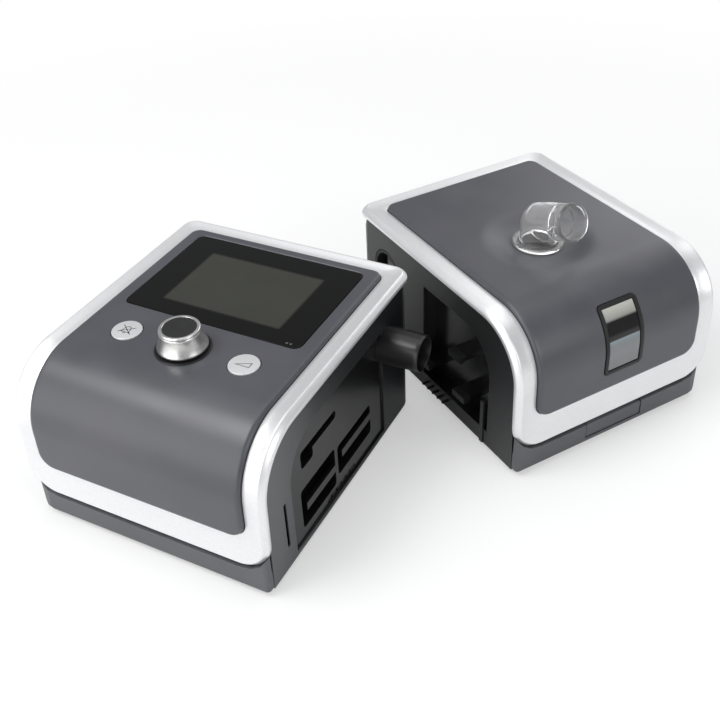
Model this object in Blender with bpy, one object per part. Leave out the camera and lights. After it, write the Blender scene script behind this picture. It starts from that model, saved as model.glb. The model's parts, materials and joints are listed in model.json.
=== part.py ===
# A sleep-therapy air unit in two modules that dock side by side: the main unit with its blower,
# display and controls, and the heated humidifier with its water chamber, lid and swivel elbow.
# Each module is modelled with X to its right, Y to its back and Z up, from the bottom edge of its base.

import bpy
import bmesh
from math import acos, atan2, cos, hypot, pi, radians, sin, sqrt, tan
from mathutils import Matrix, Vector

for old in list(bpy.data.objects):
    bpy.data.objects.remove(old, do_unlink=True)

MM = 0.001

# Driving dimensions, shared by both modules
UNIT_DEPTH = 170.7 * MM
UNIT_HEIGHT = 93 * MM
MAIN_WIDTH = 151 * MM
HUMIDIFIER_WIDTH = 141.5 * MM
NOSE_RADIUS = 36 * MM
TOP_SLOPE = radians(0.6)
FRONT_DRAFT = radians(2.0)
FOOT_HEIGHT = 2.5 * MM
PORT_BACK = 33.35 * MM
PORT_Y = UNIT_DEPTH / 2 - PORT_BACK
PORT_Z = 62 * MM
PORT_RADIUS = 11 * MM
SEAT_GAP = 0.3 * MM
SEAM_GAP = 0.35 * MM
OVERRUN = 2 * MM

# Where the two modules stand, measured to the middle of each base
MAIN_PLACE_X = -78.2 * MM
MAIN_PLACE_Y = -84.2 * MM
HUMIDIFIER_PLACE_X = 45.3 * MM
HUMIDIFIER_PLACE_Y = 66.3 * MM
HUMIDIFIER_TURN = radians(56.6)

# The silver frame that runs over the top and down the front
FRAME_SIDE = 12 * MM
HUMIDIFIER_FRAME_SIDE = 13.2 * MM
FRAME_BACK = 11 * MM
FRAME_FOOT_Z = 13.5 * MM
FRAME_SKIRT = 4.6 * MM
FRAME_EDGE_RADIUS = 2.4 * MM
FRAME_WALL = 2.2 * MM
FRAME_DROP = 1.4 * MM
FRAME_BACK_RADIUS = 9 * MM
FRAME_FRONT_RADIUS = 18 * MM

# The raised panel inside the frame
PANEL_FOOT_Z = 34 * MM
PANEL_RISE = 1.1 * MM
PANEL_UNDER = 2.5 * MM
PANEL_ROUND = 2.4 * MM
PANEL_BACK_RADIUS = 6 * MM
PANEL_FRONT_RADIUS = 9 * MM

# The dark body walls below the frame
WALL = 2.6 * MM
WALL_INSET = 1 * MM
BODY_BACK_INSET = 3 * MM
REAR_RADIUS = 8 * MM
REAR_CHAMFER = 2.2 * MM
FLOOR = 2.5 * MM
TRAY_RADIUS = 4 * MM
FREE_RADIUS = 10 * MM
DOCK_RADIUS = 2.6 * MM
STRIP_MARGIN = 1 * MM
BASE_ROUND = 1.8 * MM
CORNER_RISE = 22 * MM
CORNER_DEPTH = 4.2 * MM
POST_RADIUS = 4 * MM
DOCK_LEDGE = 0.4 * MM

# How finely curves are cut
NOSE_STEPS = 9
CORNER_STEPS = 4
ROUND_STEPS = 24
FINE_STEPS = 32


# The side outline: a sloping top line, a round nose and a front line with a little draft

def nose_centre():
    up = (-sin(TOP_SLOPE), cos(TOP_SLOPE))
    out = (-cos(FRONT_DRAFT), sin(FRONT_DRAFT))
    a = up[0] * UNIT_DEPTH / 2 + up[1] * UNIT_HEIGHT - NOSE_RADIUS
    b = -out[0] * UNIT_DEPTH / 2 - NOSE_RADIUS
    d = up[0] * out[1] - up[1] * out[0]
    return (a * out[1] - b * up[1]) / d, (up[0] * b - out[0] * a) / d


NOSE_Y, NOSE_Z = nose_centre()
TOP_ANGLE = pi / 2 + TOP_SLOPE
FRONT_ANGLE = pi - FRONT_DRAFT
TOP_LENGTH = (UNIT_DEPTH / 2 - NOSE_Y - NOSE_RADIUS * cos(TOP_ANGLE)) / cos(TOP_SLOPE)
NOSE_LENGTH = NOSE_RADIUS * (FRONT_ANGLE - TOP_ANGLE)


def top_z(y, inset=0):
    return UNIT_HEIGHT + tan(TOP_SLOPE) * (y - UNIT_DEPTH / 2) - inset / cos(TOP_SLOPE)


def front_y(z, inset=0):
    return -UNIT_DEPTH / 2 + tan(FRONT_DRAFT) * z + inset / cos(FRONT_DRAFT)


def side_outline(inset, back_y, bottom_z, steps=NOSE_STEPS):
    points = [(back_y, bottom_z), (front_y(bottom_z, inset), bottom_z)]
    radius = NOSE_RADIUS - inset
    for i in range(steps + 1):
        angle = FRONT_ANGLE + (TOP_ANGLE - FRONT_ANGLE) * i / steps
        points.append((NOSE_Y + radius * cos(angle), NOSE_Z + radius * sin(angle)))
    points.append((back_y, top_z(back_y, inset)))
    return points


def skin(x, along, out):
    # A point on the outer skin: across, along from the back edge over the nose, and out from the surface
    if along <= TOP_LENGTH:
        angle = TOP_ANGLE
        y = UNIT_DEPTH / 2 - along * cos(TOP_SLOPE)
        z = UNIT_HEIGHT - along * sin(TOP_SLOPE)
    elif along <= TOP_LENGTH + NOSE_LENGTH:
        angle = TOP_ANGLE + (along - TOP_LENGTH) / NOSE_RADIUS
        y = NOSE_Y + NOSE_RADIUS * cos(angle)
        z = NOSE_Z + NOSE_RADIUS * sin(angle)
    else:
        angle = FRONT_ANGLE
        rest = along - TOP_LENGTH - NOSE_LENGTH
        y = NOSE_Y + NOSE_RADIUS * cos(angle) - rest * sin(FRONT_DRAFT)
        z = NOSE_Z + NOSE_RADIUS * sin(angle) - rest * cos(FRONT_DRAFT)
    return Vector((x, y + out * cos(angle), z + out * sin(angle)))


def along_front(z):
    # How far along the skin the front line reaches the height z
    tangent_z = NOSE_Z + NOSE_RADIUS * sin(FRONT_ANGLE)
    return TOP_LENGTH + NOSE_LENGTH + (tangent_z - z) / cos(FRONT_DRAFT)


def along_nose(z):
    return TOP_LENGTH + NOSE_RADIUS * (pi - TOP_ANGLE - acos(sqrt(1 - ((z - NOSE_Z) / NOSE_RADIUS) ** 2)))


def side_stations():
    return [TOP_LENGTH / 2] + [TOP_LENGTH + NOSE_LENGTH * i / NOSE_STEPS for i in range(NOSE_STEPS + 1)]


def even_stations(start, end, count):
    return [start + (end - start) * i / count for i in range(1, count)]


def border(middle, half, start, end, back_radius, front_radius, out, trim=0, stations=None):
    # A rounded rectangle drawn on the skin, as one closed ring; trim moves it inwards all round
    stations = side_stations() if stations is None else stations
    half = half - trim
    start = start + trim
    end = end - trim
    near = back_radius - trim
    far = front_radius - trim
    right = []
    for i in range(CORNER_STEPS + 1):
        a = pi / 2 * i / CORNER_STEPS
        right.append((half - near + near * sin(a), start + near - near * cos(a)))
    right += [(half, s) for s in stations]
    for i in range(CORNER_STEPS + 1):
        a = pi / 2 * i / CORNER_STEPS
        right.append((half - far + far * cos(a), end - far + far * sin(a)))
    ring = [skin(middle + x, s, out) for x, s in right]
    return ring + [skin(middle - x, s, out) for x, s in reversed(right)]


# Small modelling helpers

def skin_rings(rings, loop=False):
    # Rings of equal count joined into one closed body; without loop the two end rings are filled across
    bm = bmesh.new()
    rows = [[bm.verts.new(p) for p in ring] for ring in rings]
    count = len(rows[0])
    pairs = list(zip(rows, rows[1:]))
    if loop:
        pairs.append((rows[-1], rows[0]))
    for a, b in pairs:
        for i in range(count):
            j = (i + 1) % count
            bm.faces.new((a[i], a[j], b[j], b[i]))
    if not loop:
        for row in (rows[0], rows[-1]):
            for i in range(count // 2 - 1):
                bm.faces.new((row[i], row[i + 1], row[count - 2 - i], row[count - 1 - i]))
    return bm


def prism(outline, low, high, axis="Z"):
    # An outline carried straight from low to high along an axis
    def at(u, v, t):
        return {"X": (t, u, v), "Y": (u, t, v), "Z": (u, v, t)}[axis]
    bm = bmesh.new()
    first = [bm.verts.new(at(u, v, low)) for u, v in outline]
    last = [bm.verts.new(at(u, v, high)) for u, v in outline]
    bm.faces.new(first)
    bm.faces.new(last)
    for i in range(len(outline)):
        j = (i + 1) % len(outline)
        bm.faces.new((first[i], first[j], last[j], last[i]))
    return bm


def lathe(profile, steps=ROUND_STEPS, loop=False):
    # A profile of (radius, height) points turned about Z; a radius of zero closes on the axis
    bm = bmesh.new()
    rows = []
    for r, z in profile:
        if r == 0:
            rows.append([bm.verts.new((0, 0, z))])
        else:
            ring = [(r * cos(2 * pi * i / steps), r * sin(2 * pi * i / steps), z) for i in range(steps)]
            rows.append([bm.verts.new(p) for p in ring])
    pairs = list(zip(rows, rows[1:]))
    if loop:
        pairs.append((rows[-1], rows[0]))
    for a, b in pairs:
        for i in range(steps):
            j = (i + 1) % steps
            corners = [a[i % len(a)], a[j % len(a)], b[j % len(b)], b[i % len(b)]]
            unique = list(dict.fromkeys(corners))
            if len(unique) > 2:
                bm.faces.new(unique)
    return bm


def sweep(stops, steps=ROUND_STEPS):
    # Round sections of (centre, direction, radius), the last joined to the first: a tube with its bore
    rings = []
    for centre, direction, radius in stops:
        d = direction.normalized()
        side = Vector((0, 0, 1)).cross(d)
        side = side.normalized() if side.length > 1e-6 else Vector((1, 0, 0))
        other = d.cross(side)
        rings.append([centre + radius * (cos(2 * pi * i / steps) * side + sin(2 * pi * i / steps) * other)
                      for i in range(steps)])
    return skin_rings(rings, loop=True)


def rounded(left, right, low, high, radius, steps=CORNER_STEPS):
    points = []
    corners = ((right, high, 0), (left, high, pi / 2), (left, low, pi), (right, low, 3 * pi / 2))
    for u, v, turn in corners:
        cu = u - radius if u == right else u + radius
        cv = v - radius if v == high else v + radius
        for i in range(steps + 1):
            a = turn + pi / 2 * i / steps
            points.append((cu + radius * cos(a), cv + radius * sin(a)))
    return points


def circle(u, v, radius, steps=ROUND_STEPS):
    return [(u + radius * cos(2 * pi * i / steps), v + radius * sin(2 * pi * i / steps)) for i in range(steps)]


def box_outline(left, right, low, high):
    return [(left, low), (right, low), (right, high), (left, high)]


MATERIALS = {}


def finish(name, colour, roughness, metallic=0.0, alpha=1.0):
    material = bpy.data.materials.new(name)
    material.use_nodes = True
    shader = material.node_tree.nodes["Principled BSDF"]
    shader.inputs["Base Color"].default_value = (*colour, 1.0)
    shader.inputs["Roughness"].default_value = roughness
    shader.inputs["Metallic"].default_value = metallic
    shader.inputs["Alpha"].default_value = alpha
    material.diffuse_color = (*colour, alpha)
    MATERIALS[name] = material


finish("silver_paint", (0.66, 0.66, 0.67), 0.32, 0.75)
finish("slate_plastic", (0.105, 0.105, 0.118), 0.42)
finish("dark_plastic", (0.055, 0.056, 0.060), 0.5)
finish("black_plastic", (0.012, 0.012, 0.013), 0.45)
finish("display_glass", (0.006, 0.006, 0.006), 0.06)
finish("clear_plastic", (0.85, 0.87, 0.88), 0.08, 0.0, 0.35)
finish("button_plastic", (0.60, 0.60, 0.61), 0.4, 0.2)
finish("soft_rubber", (0.02, 0.02, 0.021), 0.8)
finish("circuit_board", (0.02, 0.10, 0.05), 0.55)
finish("bare_aluminium", (0.72, 0.72, 0.73), 0.3, 1.0)
finish("bright_steel", (0.6, 0.6, 0.6), 0.25, 1.0)
finish("pale_plastic", (0.62, 0.63, 0.62), 0.5)
finish("filter_foam", (0.16, 0.16, 0.17), 0.95)


def add_object(name, bm, material, parent=None, place=(0, 0, 0)):
    bmesh.ops.recalc_face_normals(bm, faces=bm.faces)
    mesh = bpy.data.meshes.new(name)
    bm.to_mesh(mesh)
    bm.free()
    mesh.shade_smooth()
    mesh.set_sharp_from_angle(angle=radians(35))
    obj = bpy.data.objects.new(name, mesh)
    bpy.context.scene.collection.objects.link(obj)
    if material:
        mesh.materials.append(MATERIALS[material])
    obj.parent = parent
    obj.location = place
    return obj


def shape_with(obj, bm, operation, place=None):
    # Joins a shape to an object, or cuts it away; the tool stays as a wire guide beside the object
    number = len(obj.modifiers) + 1
    tool = add_object(f"{obj.name}_tool_{number}", bm, None, obj.parent, obj.location if place is None else place)
    tool.hide_render = True
    tool.display_type = "WIRE"
    modifier = obj.modifiers.new(f"shape_{number}", "BOOLEAN")
    modifier.operation = operation
    modifier.object = tool
    modifier.solver = "EXACT"


def cut(obj, bm, place=None):
    shape_with(obj, bm, "DIFFERENCE", place)


def join(obj, bm, place=None):
    shape_with(obj, bm, "UNION", place)


def empty(name, parent, place, turn=(0, 0, 0)):
    obj = bpy.data.objects.new(name, None)
    bpy.context.scene.collection.objects.link(obj)
    obj.parent = parent
    obj.location = place
    obj.rotation_euler = turn
    return obj


MAIN = empty("main_unit", None, (MAIN_PLACE_X, MAIN_PLACE_Y, FOOT_HEIGHT))
HUMIDIFIER = empty("humidifier", None, (HUMIDIFIER_PLACE_X, HUMIDIFIER_PLACE_Y, FOOT_HEIGHT),
                   (0, 0, HUMIDIFIER_TURN))
# A deck lies on each module's sloping top, its origin over the middle of the base
MAIN_DECK = empty("main_deck", MAIN, (0, 0, top_z(0)), (TOP_SLOPE, 0, 0))


# The casing that both modules share

WALL_DROP = FRAME_SKIRT + SEAM_GAP
BODY_BACK = UNIT_DEPTH / 2 - BODY_BACK_INSET
SIDE_END = BODY_BACK - REAR_RADIUS - SEAM_GAP
STRIP_BACK = front_y(FRAME_FOOT_Z) + FREE_RADIUS + STRIP_MARGIN


def silver_frame(name, width, side, parent, place=(0, 0, 0)):
    half = width / 2
    foot = along_front(FRAME_FOOT_Z)
    inner_half = half - side
    inner_foot = along_front(PANEL_FOOT_Z)

    def outer(trim, out):
        return border(0, half, 0, foot, FRAME_BACK_RADIUS, FRAME_FRONT_RADIUS, out, trim)

    def inner(out):
        return border(0, inner_half, FRAME_BACK, inner_foot, PANEL_BACK_RADIUS, PANEL_FRONT_RADIUS, out)

    rings = [inner(-FRAME_DROP - FRAME_WALL), inner(-FRAME_DROP)]
    edge_steps = 3
    for i in range(edge_steps + 1):
        a = pi / 2 * (1 - i / edge_steps)
        r = FRAME_EDGE_RADIUS
        rings.append(outer(r - r * cos(a), r * sin(a) - r))
    rings.append(outer(0, -FRAME_SKIRT))
    rings.append(outer(FRAME_WALL, -FRAME_SKIRT))
    rings.append(outer(FRAME_WALL, -FRAME_DROP - FRAME_WALL))
    rings = [[p - Vector(place) for p in ring] for ring in rings]
    return add_object(name, skin_rings(rings, loop=True), "silver_paint", parent, place)


def raised_panel(name, width, side, parent, place=(0, 0, 0)):
    half = width / 2 - side - SEAT_GAP
    start = FRAME_BACK + SEAT_GAP
    foot = along_front(PANEL_FOOT_Z) - SEAT_GAP

    def ring(trim, out):
        points = border(0, half, start, foot, PANEL_BACK_RADIUS, PANEL_FRONT_RADIUS, out, trim)
        return [p - Vector(place) for p in points]

    rings = [ring(0, -PANEL_UNDER)]
    round_steps = 3
    drop_share = 0.75
    for i in range(round_steps + 1):
        a = pi / 2 * i / round_steps
        rings.append(ring(PANEL_ROUND * (1 - cos(a)), PANEL_RISE - PANEL_ROUND * drop_share * (1 - sin(a))))
    return add_object(name, skin_rings(rings), "slate_plastic", parent, place)


def base_side(half, z, trim, corner, step):
    # One side of the base in plan: a wide front strip with a rounded corner, then a narrower tray
    front = front_y(z) + trim
    strip = half - WALL_INSET - trim
    corner = corner - trim
    tray = strip - WALL - SEAM_GAP
    back = BODY_BACK - WALL - SEAM_GAP
    points = []
    radius = REAR_RADIUS - WALL
    for i in range(CORNER_STEPS + 1):
        a = pi / 2 * (1 - i / CORNER_STEPS)
        points.append((tray - radius + radius * cos(a), back - radius + radius * sin(a)))
    points += [(tray, step), (strip, step)]
    for i in range(CORNER_STEPS + 1):
        a = pi / 2 * i / CORNER_STEPS
        points.append((strip - corner + corner * cos(a), front + corner - corner * sin(a)))
    return points


def base_outline(half, z, trim, dock_side):
    dock = base_side(half, z, trim, DOCK_RADIUS, front_y(0, WALL_DROP) - SEAM_GAP)
    free = base_side(half, z, trim, FREE_RADIUS, STRIP_BACK)
    return [(dock_side * x, y) for x, y in dock] + [(-dock_side * x, y) for x, y in reversed(free)]


def stack(layers):
    # Flat outlines of equal count, one above another, joined into one closed body
    bm = bmesh.new()
    rows = [[bm.verts.new((x, y, z)) for x, y in outline] for outline, z in layers]
    count = len(rows[0])
    bm.faces.new(rows[0])
    bm.faces.new(rows[-1])
    for a, b in zip(rows, rows[1:]):
        for i in range(count):
            j = (i + 1) % count
            bm.faces.new((a[i], a[j], b[j], b[i]))
    return bm


def base_shell(name, width, parent, dock_side, dock_front, dock_back):
    # Both front corners rise behind the frame's rounded corners, and the foot is rounded under.
    # The tray's docking side is lowered where the docking wall's pockets reach in.
    half = width / 2
    top = FRAME_FOOT_Z - SEAM_GAP
    levels = [(0, BASE_ROUND), (BASE_ROUND / 3, BASE_ROUND / 3), (BASE_ROUND, 0), (top + CORNER_RISE, 0)]
    bm = stack([(base_outline(half, z, trim, dock_side), z) for z, trim in levels])
    base = add_object(name, bm, "dark_plastic", parent)
    behind = front_y(0) + CORNER_DEPTH
    cut(base, prism(box_outline(-half, half, behind, UNIT_DEPTH / 2), top, top + CORNER_RISE + OVERRUN))
    foot = along_front(FRAME_FOOT_Z)
    hole = [border(0, half, 0, foot, FRAME_BACK_RADIUS, FRAME_FRONT_RADIUS, out, -SEAM_GAP)
            for out in (-CORNER_DEPTH - OVERRUN, OVERRUN)]
    cut(base, skin_rings(hole))
    inner = rounded(-half + WALL_INSET + 2 * WALL + SEAM_GAP, half - WALL_INSET - 2 * WALL - SEAM_GAP,
                    front_y(0, WALL), BODY_BACK - 2 * WALL - SEAM_GAP, TRAY_RADIUS)
    cut(base, prism(inner, FLOOR, top + OVERRUN))
    tray = half - WALL_INSET - WALL
    ends = sorted((dock_side * (tray - 2 * WALL), dock_side * (tray + OVERRUN)))
    cut(base, prism(box_outline(ends[0], ends[1], dock_front, dock_back), FLOOR + DOCK_LEDGE, top + OVERRUN))
    return base


def side_wall_outline():
    return side_outline(WALL_DROP, SIDE_END, 0)


def free_wall_outline():
    # The wall away from the dock stands behind the base's front strip
    outline = side_wall_outline()
    behind = STRIP_BACK + SEAM_GAP
    front = front_y(FRAME_FOOT_Z, WALL_DROP)
    return [outline[0], (behind, 0), (behind, FRAME_FOOT_Z), (front, FRAME_FOOT_Z)] + outline[2:]


def chamfered_edge():
    # The top edge of the main unit's rear wall, as steps inwards with their heights
    top = top_z(BODY_BACK, FRAME_SKIRT) - SEAM_GAP
    return [(0, top - REAR_CHAMFER), (REAR_CHAMFER, top)]


def rear_panel(name, width, parent, edge):
    # A wall that turns both rear corners and ends at the side walls, its top edge drawn in outside
    half = width / 2 - WALL_INSET

    def shell_outline(shrink):
        points = []
        radius = REAR_RADIUS
        inner = REAR_RADIUS - WALL
        out = radius - shrink
        for i in range(CORNER_STEPS + 1):
            a = pi / 2 * i / CORNER_STEPS
            points.append((half - radius + out * cos(a), BODY_BACK - radius + out * sin(a)))
        left = [(-x, y) for x, y in reversed(points)]
        inside = []
        for i in range(CORNER_STEPS + 1):
            a = pi / 2 * i / CORNER_STEPS
            inside.append((half - radius + inner * cos(a), BODY_BACK - radius + inner * sin(a)))
        back = [(-x, y) for x, y in inside] + list(reversed(inside))
        return points + left + back

    bm = stack([(shell_outline(shrink), z) for shrink, z in [(0, 0)] + edge])
    return add_object(name, bm, "dark_plastic", parent)


FOOT_STRIP_WIDTH = 12 * MM
FOOT_STRIP_MARGIN = 16 * MM
FOOT_STRIP_END = 12 * MM


def foot_strips(prefix, width, parent):
    for end, side in (("front", -1), ("rear", 1)):
        y = side * (UNIT_DEPTH / 2 - FOOT_STRIP_MARGIN)
        half = width / 2 - FOOT_STRIP_END
        outline = rounded(-half, half, y - FOOT_STRIP_WIDTH / 2, y + FOOT_STRIP_WIDTH / 2, FOOT_STRIP_WIDTH / 3)
        add_object(f"{prefix}_foot_{end}", prism(outline, -FOOT_HEIGHT, -SEAT_GAP), "soft_rubber", parent)


# The docking walls. Their recess outline follows the side outline further in.

RECESS_INSET = 19 * MM
RECESS_PORT_OVERLAP = 6 * MM
RECESS_BACK = PORT_Y - RECESS_PORT_OVERLAP
RECESS_FOOT = 3 * MM
RECESS_DEPTH = 1.2 * MM
POCKET_DEPTH = 9 * MM
POCKET_WALL = 1.6 * MM
POCKET_RADIUS = 2 * MM


def recess_outline(inset, back, foot):
    # The nose of the recess keeps a radius of its own below the top line
    radius = NOSE_RADIUS - inset + RECESS_INSET / 2
    front = front_y(foot, inset + RECESS_INSET / 2)
    top = top_z(back, inset)
    points = [(back, foot), (front, foot)]
    for i in range(NOSE_STEPS + 1):
        a = pi - pi / 2 * i / NOSE_STEPS
        points.append((front + radius + radius * cos(a), top - radius + radius * sin(a)))
    points.append((back, top))
    return points


# The keyhole slot, the two hook pockets and the plug pocket: front and back as shares of half the depth
KEYHOLE_MOUTH_SHARES = (-0.515, -0.375)
KEYHOLE_SLOT_SHARES = (-0.422, -0.082)
FRONT_POCKET_SHARES = (-0.55, -0.129)
REAR_POCKET_SHARES = (-0.094, 0.363)
PLUG_POCKET_SHARES = (-0.258, 0.117)


def wall_pocket(shares, low, high):
    # A pocket's front, back, low and high in the wall
    return tuple(share * UNIT_DEPTH / 2 for share in shares) + (low, high)


KEYHOLE_TOP = 60 * MM
KEYHOLE_MOUTH_FOOT = 49 * MM
KEYHOLE_SLOT_FOOT = 55 * MM
FRONT_POCKET_FOOT = 10 * MM
FRONT_POCKET_TOP = 36 * MM
REAR_POCKET_FOOT = 14 * MM
REAR_POCKET_TOP = 34 * MM
PLUG_POCKET_FOOT = 3.2 * MM
PLUG_POCKET_TOP = 8 * MM
KEYHOLE_MOUTH = wall_pocket(KEYHOLE_MOUTH_SHARES, KEYHOLE_MOUTH_FOOT, KEYHOLE_TOP)
KEYHOLE_SLOT = wall_pocket(KEYHOLE_SLOT_SHARES, KEYHOLE_SLOT_FOOT, KEYHOLE_TOP)
FRONT_POCKET = wall_pocket(FRONT_POCKET_SHARES, FRONT_POCKET_FOOT, FRONT_POCKET_TOP)
REAR_POCKET = wall_pocket(REAR_POCKET_SHARES, REAR_POCKET_FOOT, REAR_POCKET_TOP)
PLUG_POCKET = wall_pocket(PLUG_POCKET_SHARES, PLUG_POCKET_FOOT, PLUG_POCKET_TOP)
RAIL_THICKNESS = 2.4 * MM
RAIL_LIP = 5 * MM
FRONT_RAIL_Z = 19 * MM
REAR_RAIL_Z = 23 * MM
RAIL_END_GAP = 5 * MM
CARD_SLOT_FRONT = 21.75 * MM
CARD_SLOT_Y = CARD_SLOT_FRONT - UNIT_DEPTH / 2
CARD_SLOT_LOW = 14 * MM
CARD_SLOT_HIGH = 44 * MM
CARD_SLOT_WIDTH = 2.4 * MM


def pocket_outline(pocket, grow=0):
    front, back, low, high = pocket
    return rounded(front - grow, back + grow, low - grow, high + grow, POCKET_RADIUS + grow, 2)


def docking_wall():
    outer = MAIN_WIDTH / 2 - WALL_INSET
    inner = outer - WALL
    floor = outer - POCKET_DEPTH
    wall = add_object("docking_wall", prism(side_wall_outline(), inner, outer, "X"), "dark_plastic", MAIN)
    recess = recess_outline(RECESS_INSET, RECESS_BACK, RECESS_FOOT)
    pockets = (KEYHOLE_MOUTH, KEYHOLE_SLOT, FRONT_POCKET, REAR_POCKET)
    for pocket in pockets:
        join(wall, prism(pocket_outline(pocket, POCKET_WALL), floor - POCKET_WALL, inner + WALL / 2, "X"))
    cut(wall, prism(recess, outer - RECESS_DEPTH, outer + OVERRUN, "X"))
    for pocket in pockets:
        cut(wall, prism(pocket_outline(pocket), floor, outer + OVERRUN, "X"))
    cut(wall, prism(pocket_outline(PLUG_POCKET), inner - OVERRUN, outer + OVERRUN, "X"))
    for pocket, z in ((FRONT_POCKET, FRONT_RAIL_Z), (REAR_POCKET, REAR_RAIL_Z)):
        front = pocket[0] + RAIL_END_GAP
        back = pocket[1] + POCKET_WALL / 2
        hook = [(floor - POCKET_WALL / 2, z), (outer - RECESS_DEPTH, z), (outer - RECESS_DEPTH, z + RAIL_LIP),
                (outer - RECESS_DEPTH - RAIL_THICKNESS, z + RAIL_LIP),
                (outer - RECESS_DEPTH - RAIL_THICKNESS, z + RAIL_THICKNESS),
                (floor - POCKET_WALL / 2, z + RAIL_THICKNESS)]
        join(wall, prism(hook, front, back, "Y"))
    cut(wall, prism(circle(PORT_Y, PORT_Z, PORT_RADIUS + SEAT_GAP), inner - OVERRUN, outer + OVERRUN, "X"))
    slot = rounded(CARD_SLOT_Y - CARD_SLOT_WIDTH / 2, CARD_SLOT_Y + CARD_SLOT_WIDTH / 2, CARD_SLOT_LOW,
                   CARD_SLOT_HIGH, CARD_SLOT_WIDTH / 3, 2)
    cut(wall, prism(slot, inner - OVERRUN, outer + OVERRUN, "X"))


CARD_READER_DEPTH = 26 * MM
CARD_READER_WIDTH = 7 * MM
CARD_READER_MARGIN = 3 * MM
CARD_READER_FOOT = FRAME_FOOT_Z - SEAM_GAP + SEAT_GAP
PLUG_LENGTH = 8 * MM
PLUG_PIN = 1.2 * MM
PLUG_PINS = 5


def docking_fittings():
    inner = MAIN_WIDTH / 2 - WALL_INSET - WALL
    near = inner - SEAT_GAP
    high = CARD_SLOT_HIGH + CARD_READER_MARGIN
    body = box_outline(CARD_SLOT_Y - CARD_READER_WIDTH / 2, CARD_SLOT_Y + CARD_READER_WIDTH / 2, CARD_READER_FOOT, high)
    reader = add_object("card_reader", prism(body, near - CARD_READER_DEPTH, near, "X"), "black_plastic", MAIN)
    mouth = box_outline(CARD_SLOT_Y - CARD_SLOT_WIDTH / 2, CARD_SLOT_Y + CARD_SLOT_WIDTH / 2,
                        CARD_SLOT_LOW, CARD_SLOT_HIGH)
    cut(reader, prism(mouth, near - CARD_READER_DEPTH + CARD_READER_MARGIN, near + OVERRUN, "X"))
    front, back, floor, high = PLUG_POCKET
    body = rounded(front + SEAT_GAP, back - SEAT_GAP, floor + SEAT_GAP, high - SEAT_GAP, POCKET_RADIUS / 2, 2)
    start = near - PLUG_LENGTH + WALL
    plug = add_object("humidifier_plug", prism(body, start, near + WALL - RECESS_DEPTH, "X"), "black_plastic", MAIN)
    middle = (floor + high) / 2
    for i in range(PLUG_PINS):
        y = front + (back - front) * (i + 1) / (PLUG_PINS + 1)
        socket = box_outline(y - PLUG_PIN / 2, y + PLUG_PIN / 2, middle - PLUG_PIN, middle + PLUG_PIN)
        cut(plug, prism(socket, near - WALL, near + WALL, "X"))


# The main unit's top: display, knob and buttons, in the deck's coordinates

KNOB_FRONT = 55.85 * MM
KNOB_Y = KNOB_FRONT - UNIT_DEPTH / 2
WINDOW_SIDE = 20.5 * MM
WINDOW_KNOB_GAP = 21.5 * MM
WINDOW_END = 17.55 * MM
WINDOW_HALF = MAIN_WIDTH / 2 - WINDOW_SIDE
WINDOW_FRONT = KNOB_Y + WINDOW_KNOB_GAP
WINDOW_BACK = UNIT_DEPTH / 2 - WINDOW_END
WINDOW_RADIUS = 4.5 * MM
WINDOW_GLASS = 1.6 * MM
WINDOW_SUNK = 0.2 * MM
LCD_SIDE = 18.5 * MM
LCD_HALF = WINDOW_HALF - LCD_SIDE
LCD_NEAR_RIM = 12 * MM
LCD_FAR_RIM = 14.8 * MM
LCD_FRONT = WINDOW_FRONT + LCD_NEAR_RIM
LCD_BACK = WINDOW_BACK - LCD_FAR_RIM
LCD_BEZEL = 3 * MM
LCD_THICKNESS = 4 * MM
BOARD_SIDE = 15.5 * MM
BOARD_HALF = MAIN_WIDTH / 2 - BOARD_SIDE
BOARD_KNOB_REACH = 16.5 * MM
BOARD_END = 3.8 * MM
BOARD_FRONT = KNOB_Y - BOARD_KNOB_REACH
BOARD_BACK = WINDOW_BACK - BOARD_END
BOARD_THICKNESS = 1.6 * MM
BOSS_INSET = 4 * MM
BOSS_RADIUS = 2.6 * MM
KNOB_BASE_RADIUS = 13.3 * MM
KNOB_TOP_RADIUS = 10.7 * MM
KNOB_HEIGHT = 13 * MM
KNOB_TRAVEL = 1 * MM
KNOB_CAP_RADIUS = 9.4 * MM
KNOB_CAP_DEPTH = 0.9 * MM
KNOB_EDGE = 0.8 * MM
KNOB_RING_WIDTH = 2 * MM
KNOB_RING_RISE = 0.6 * MM
SHAFT_RADIUS = 3 * MM
SHAFT_REACH = 8 * MM
ENCODER_SIZE = 12 * MM
ENCODER_HEIGHT = 4 * MM
ENCODER_COLLAR = 4.4 * MM
ENCODER_FLOOR = 1.5 * MM
BUTTON_START = 17 * MM
BUTTON_SHIFT = 0.5 * MM
BUTTON_X = (WINDOW_HALF + BUTTON_START) / 2
BUTTON_Y = KNOB_Y + BUTTON_SHIFT
BUTTON_RADIUS = 8.2 * MM
BUTTON_RISE = 0.5 * MM
BUTTON_CLEARANCE = 0.35 * MM
BUTTON_TRAVEL = 0.6 * MM
BUTTON_LIP = 1.1 * MM
BUTTON_CROWN = 0.35 * MM
SWITCH_SIZE = 6 * MM
SWITCH_FREE = 0.8 * MM
SWITCH_PLUNGER = 1.6 * MM

GLASS_BOTTOM = PANEL_RISE - WINDOW_SUNK - WINDOW_GLASS
BOARD_TOP = -PANEL_UNDER - SEAT_GAP - LCD_THICKNESS - SEAT_GAP


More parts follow.
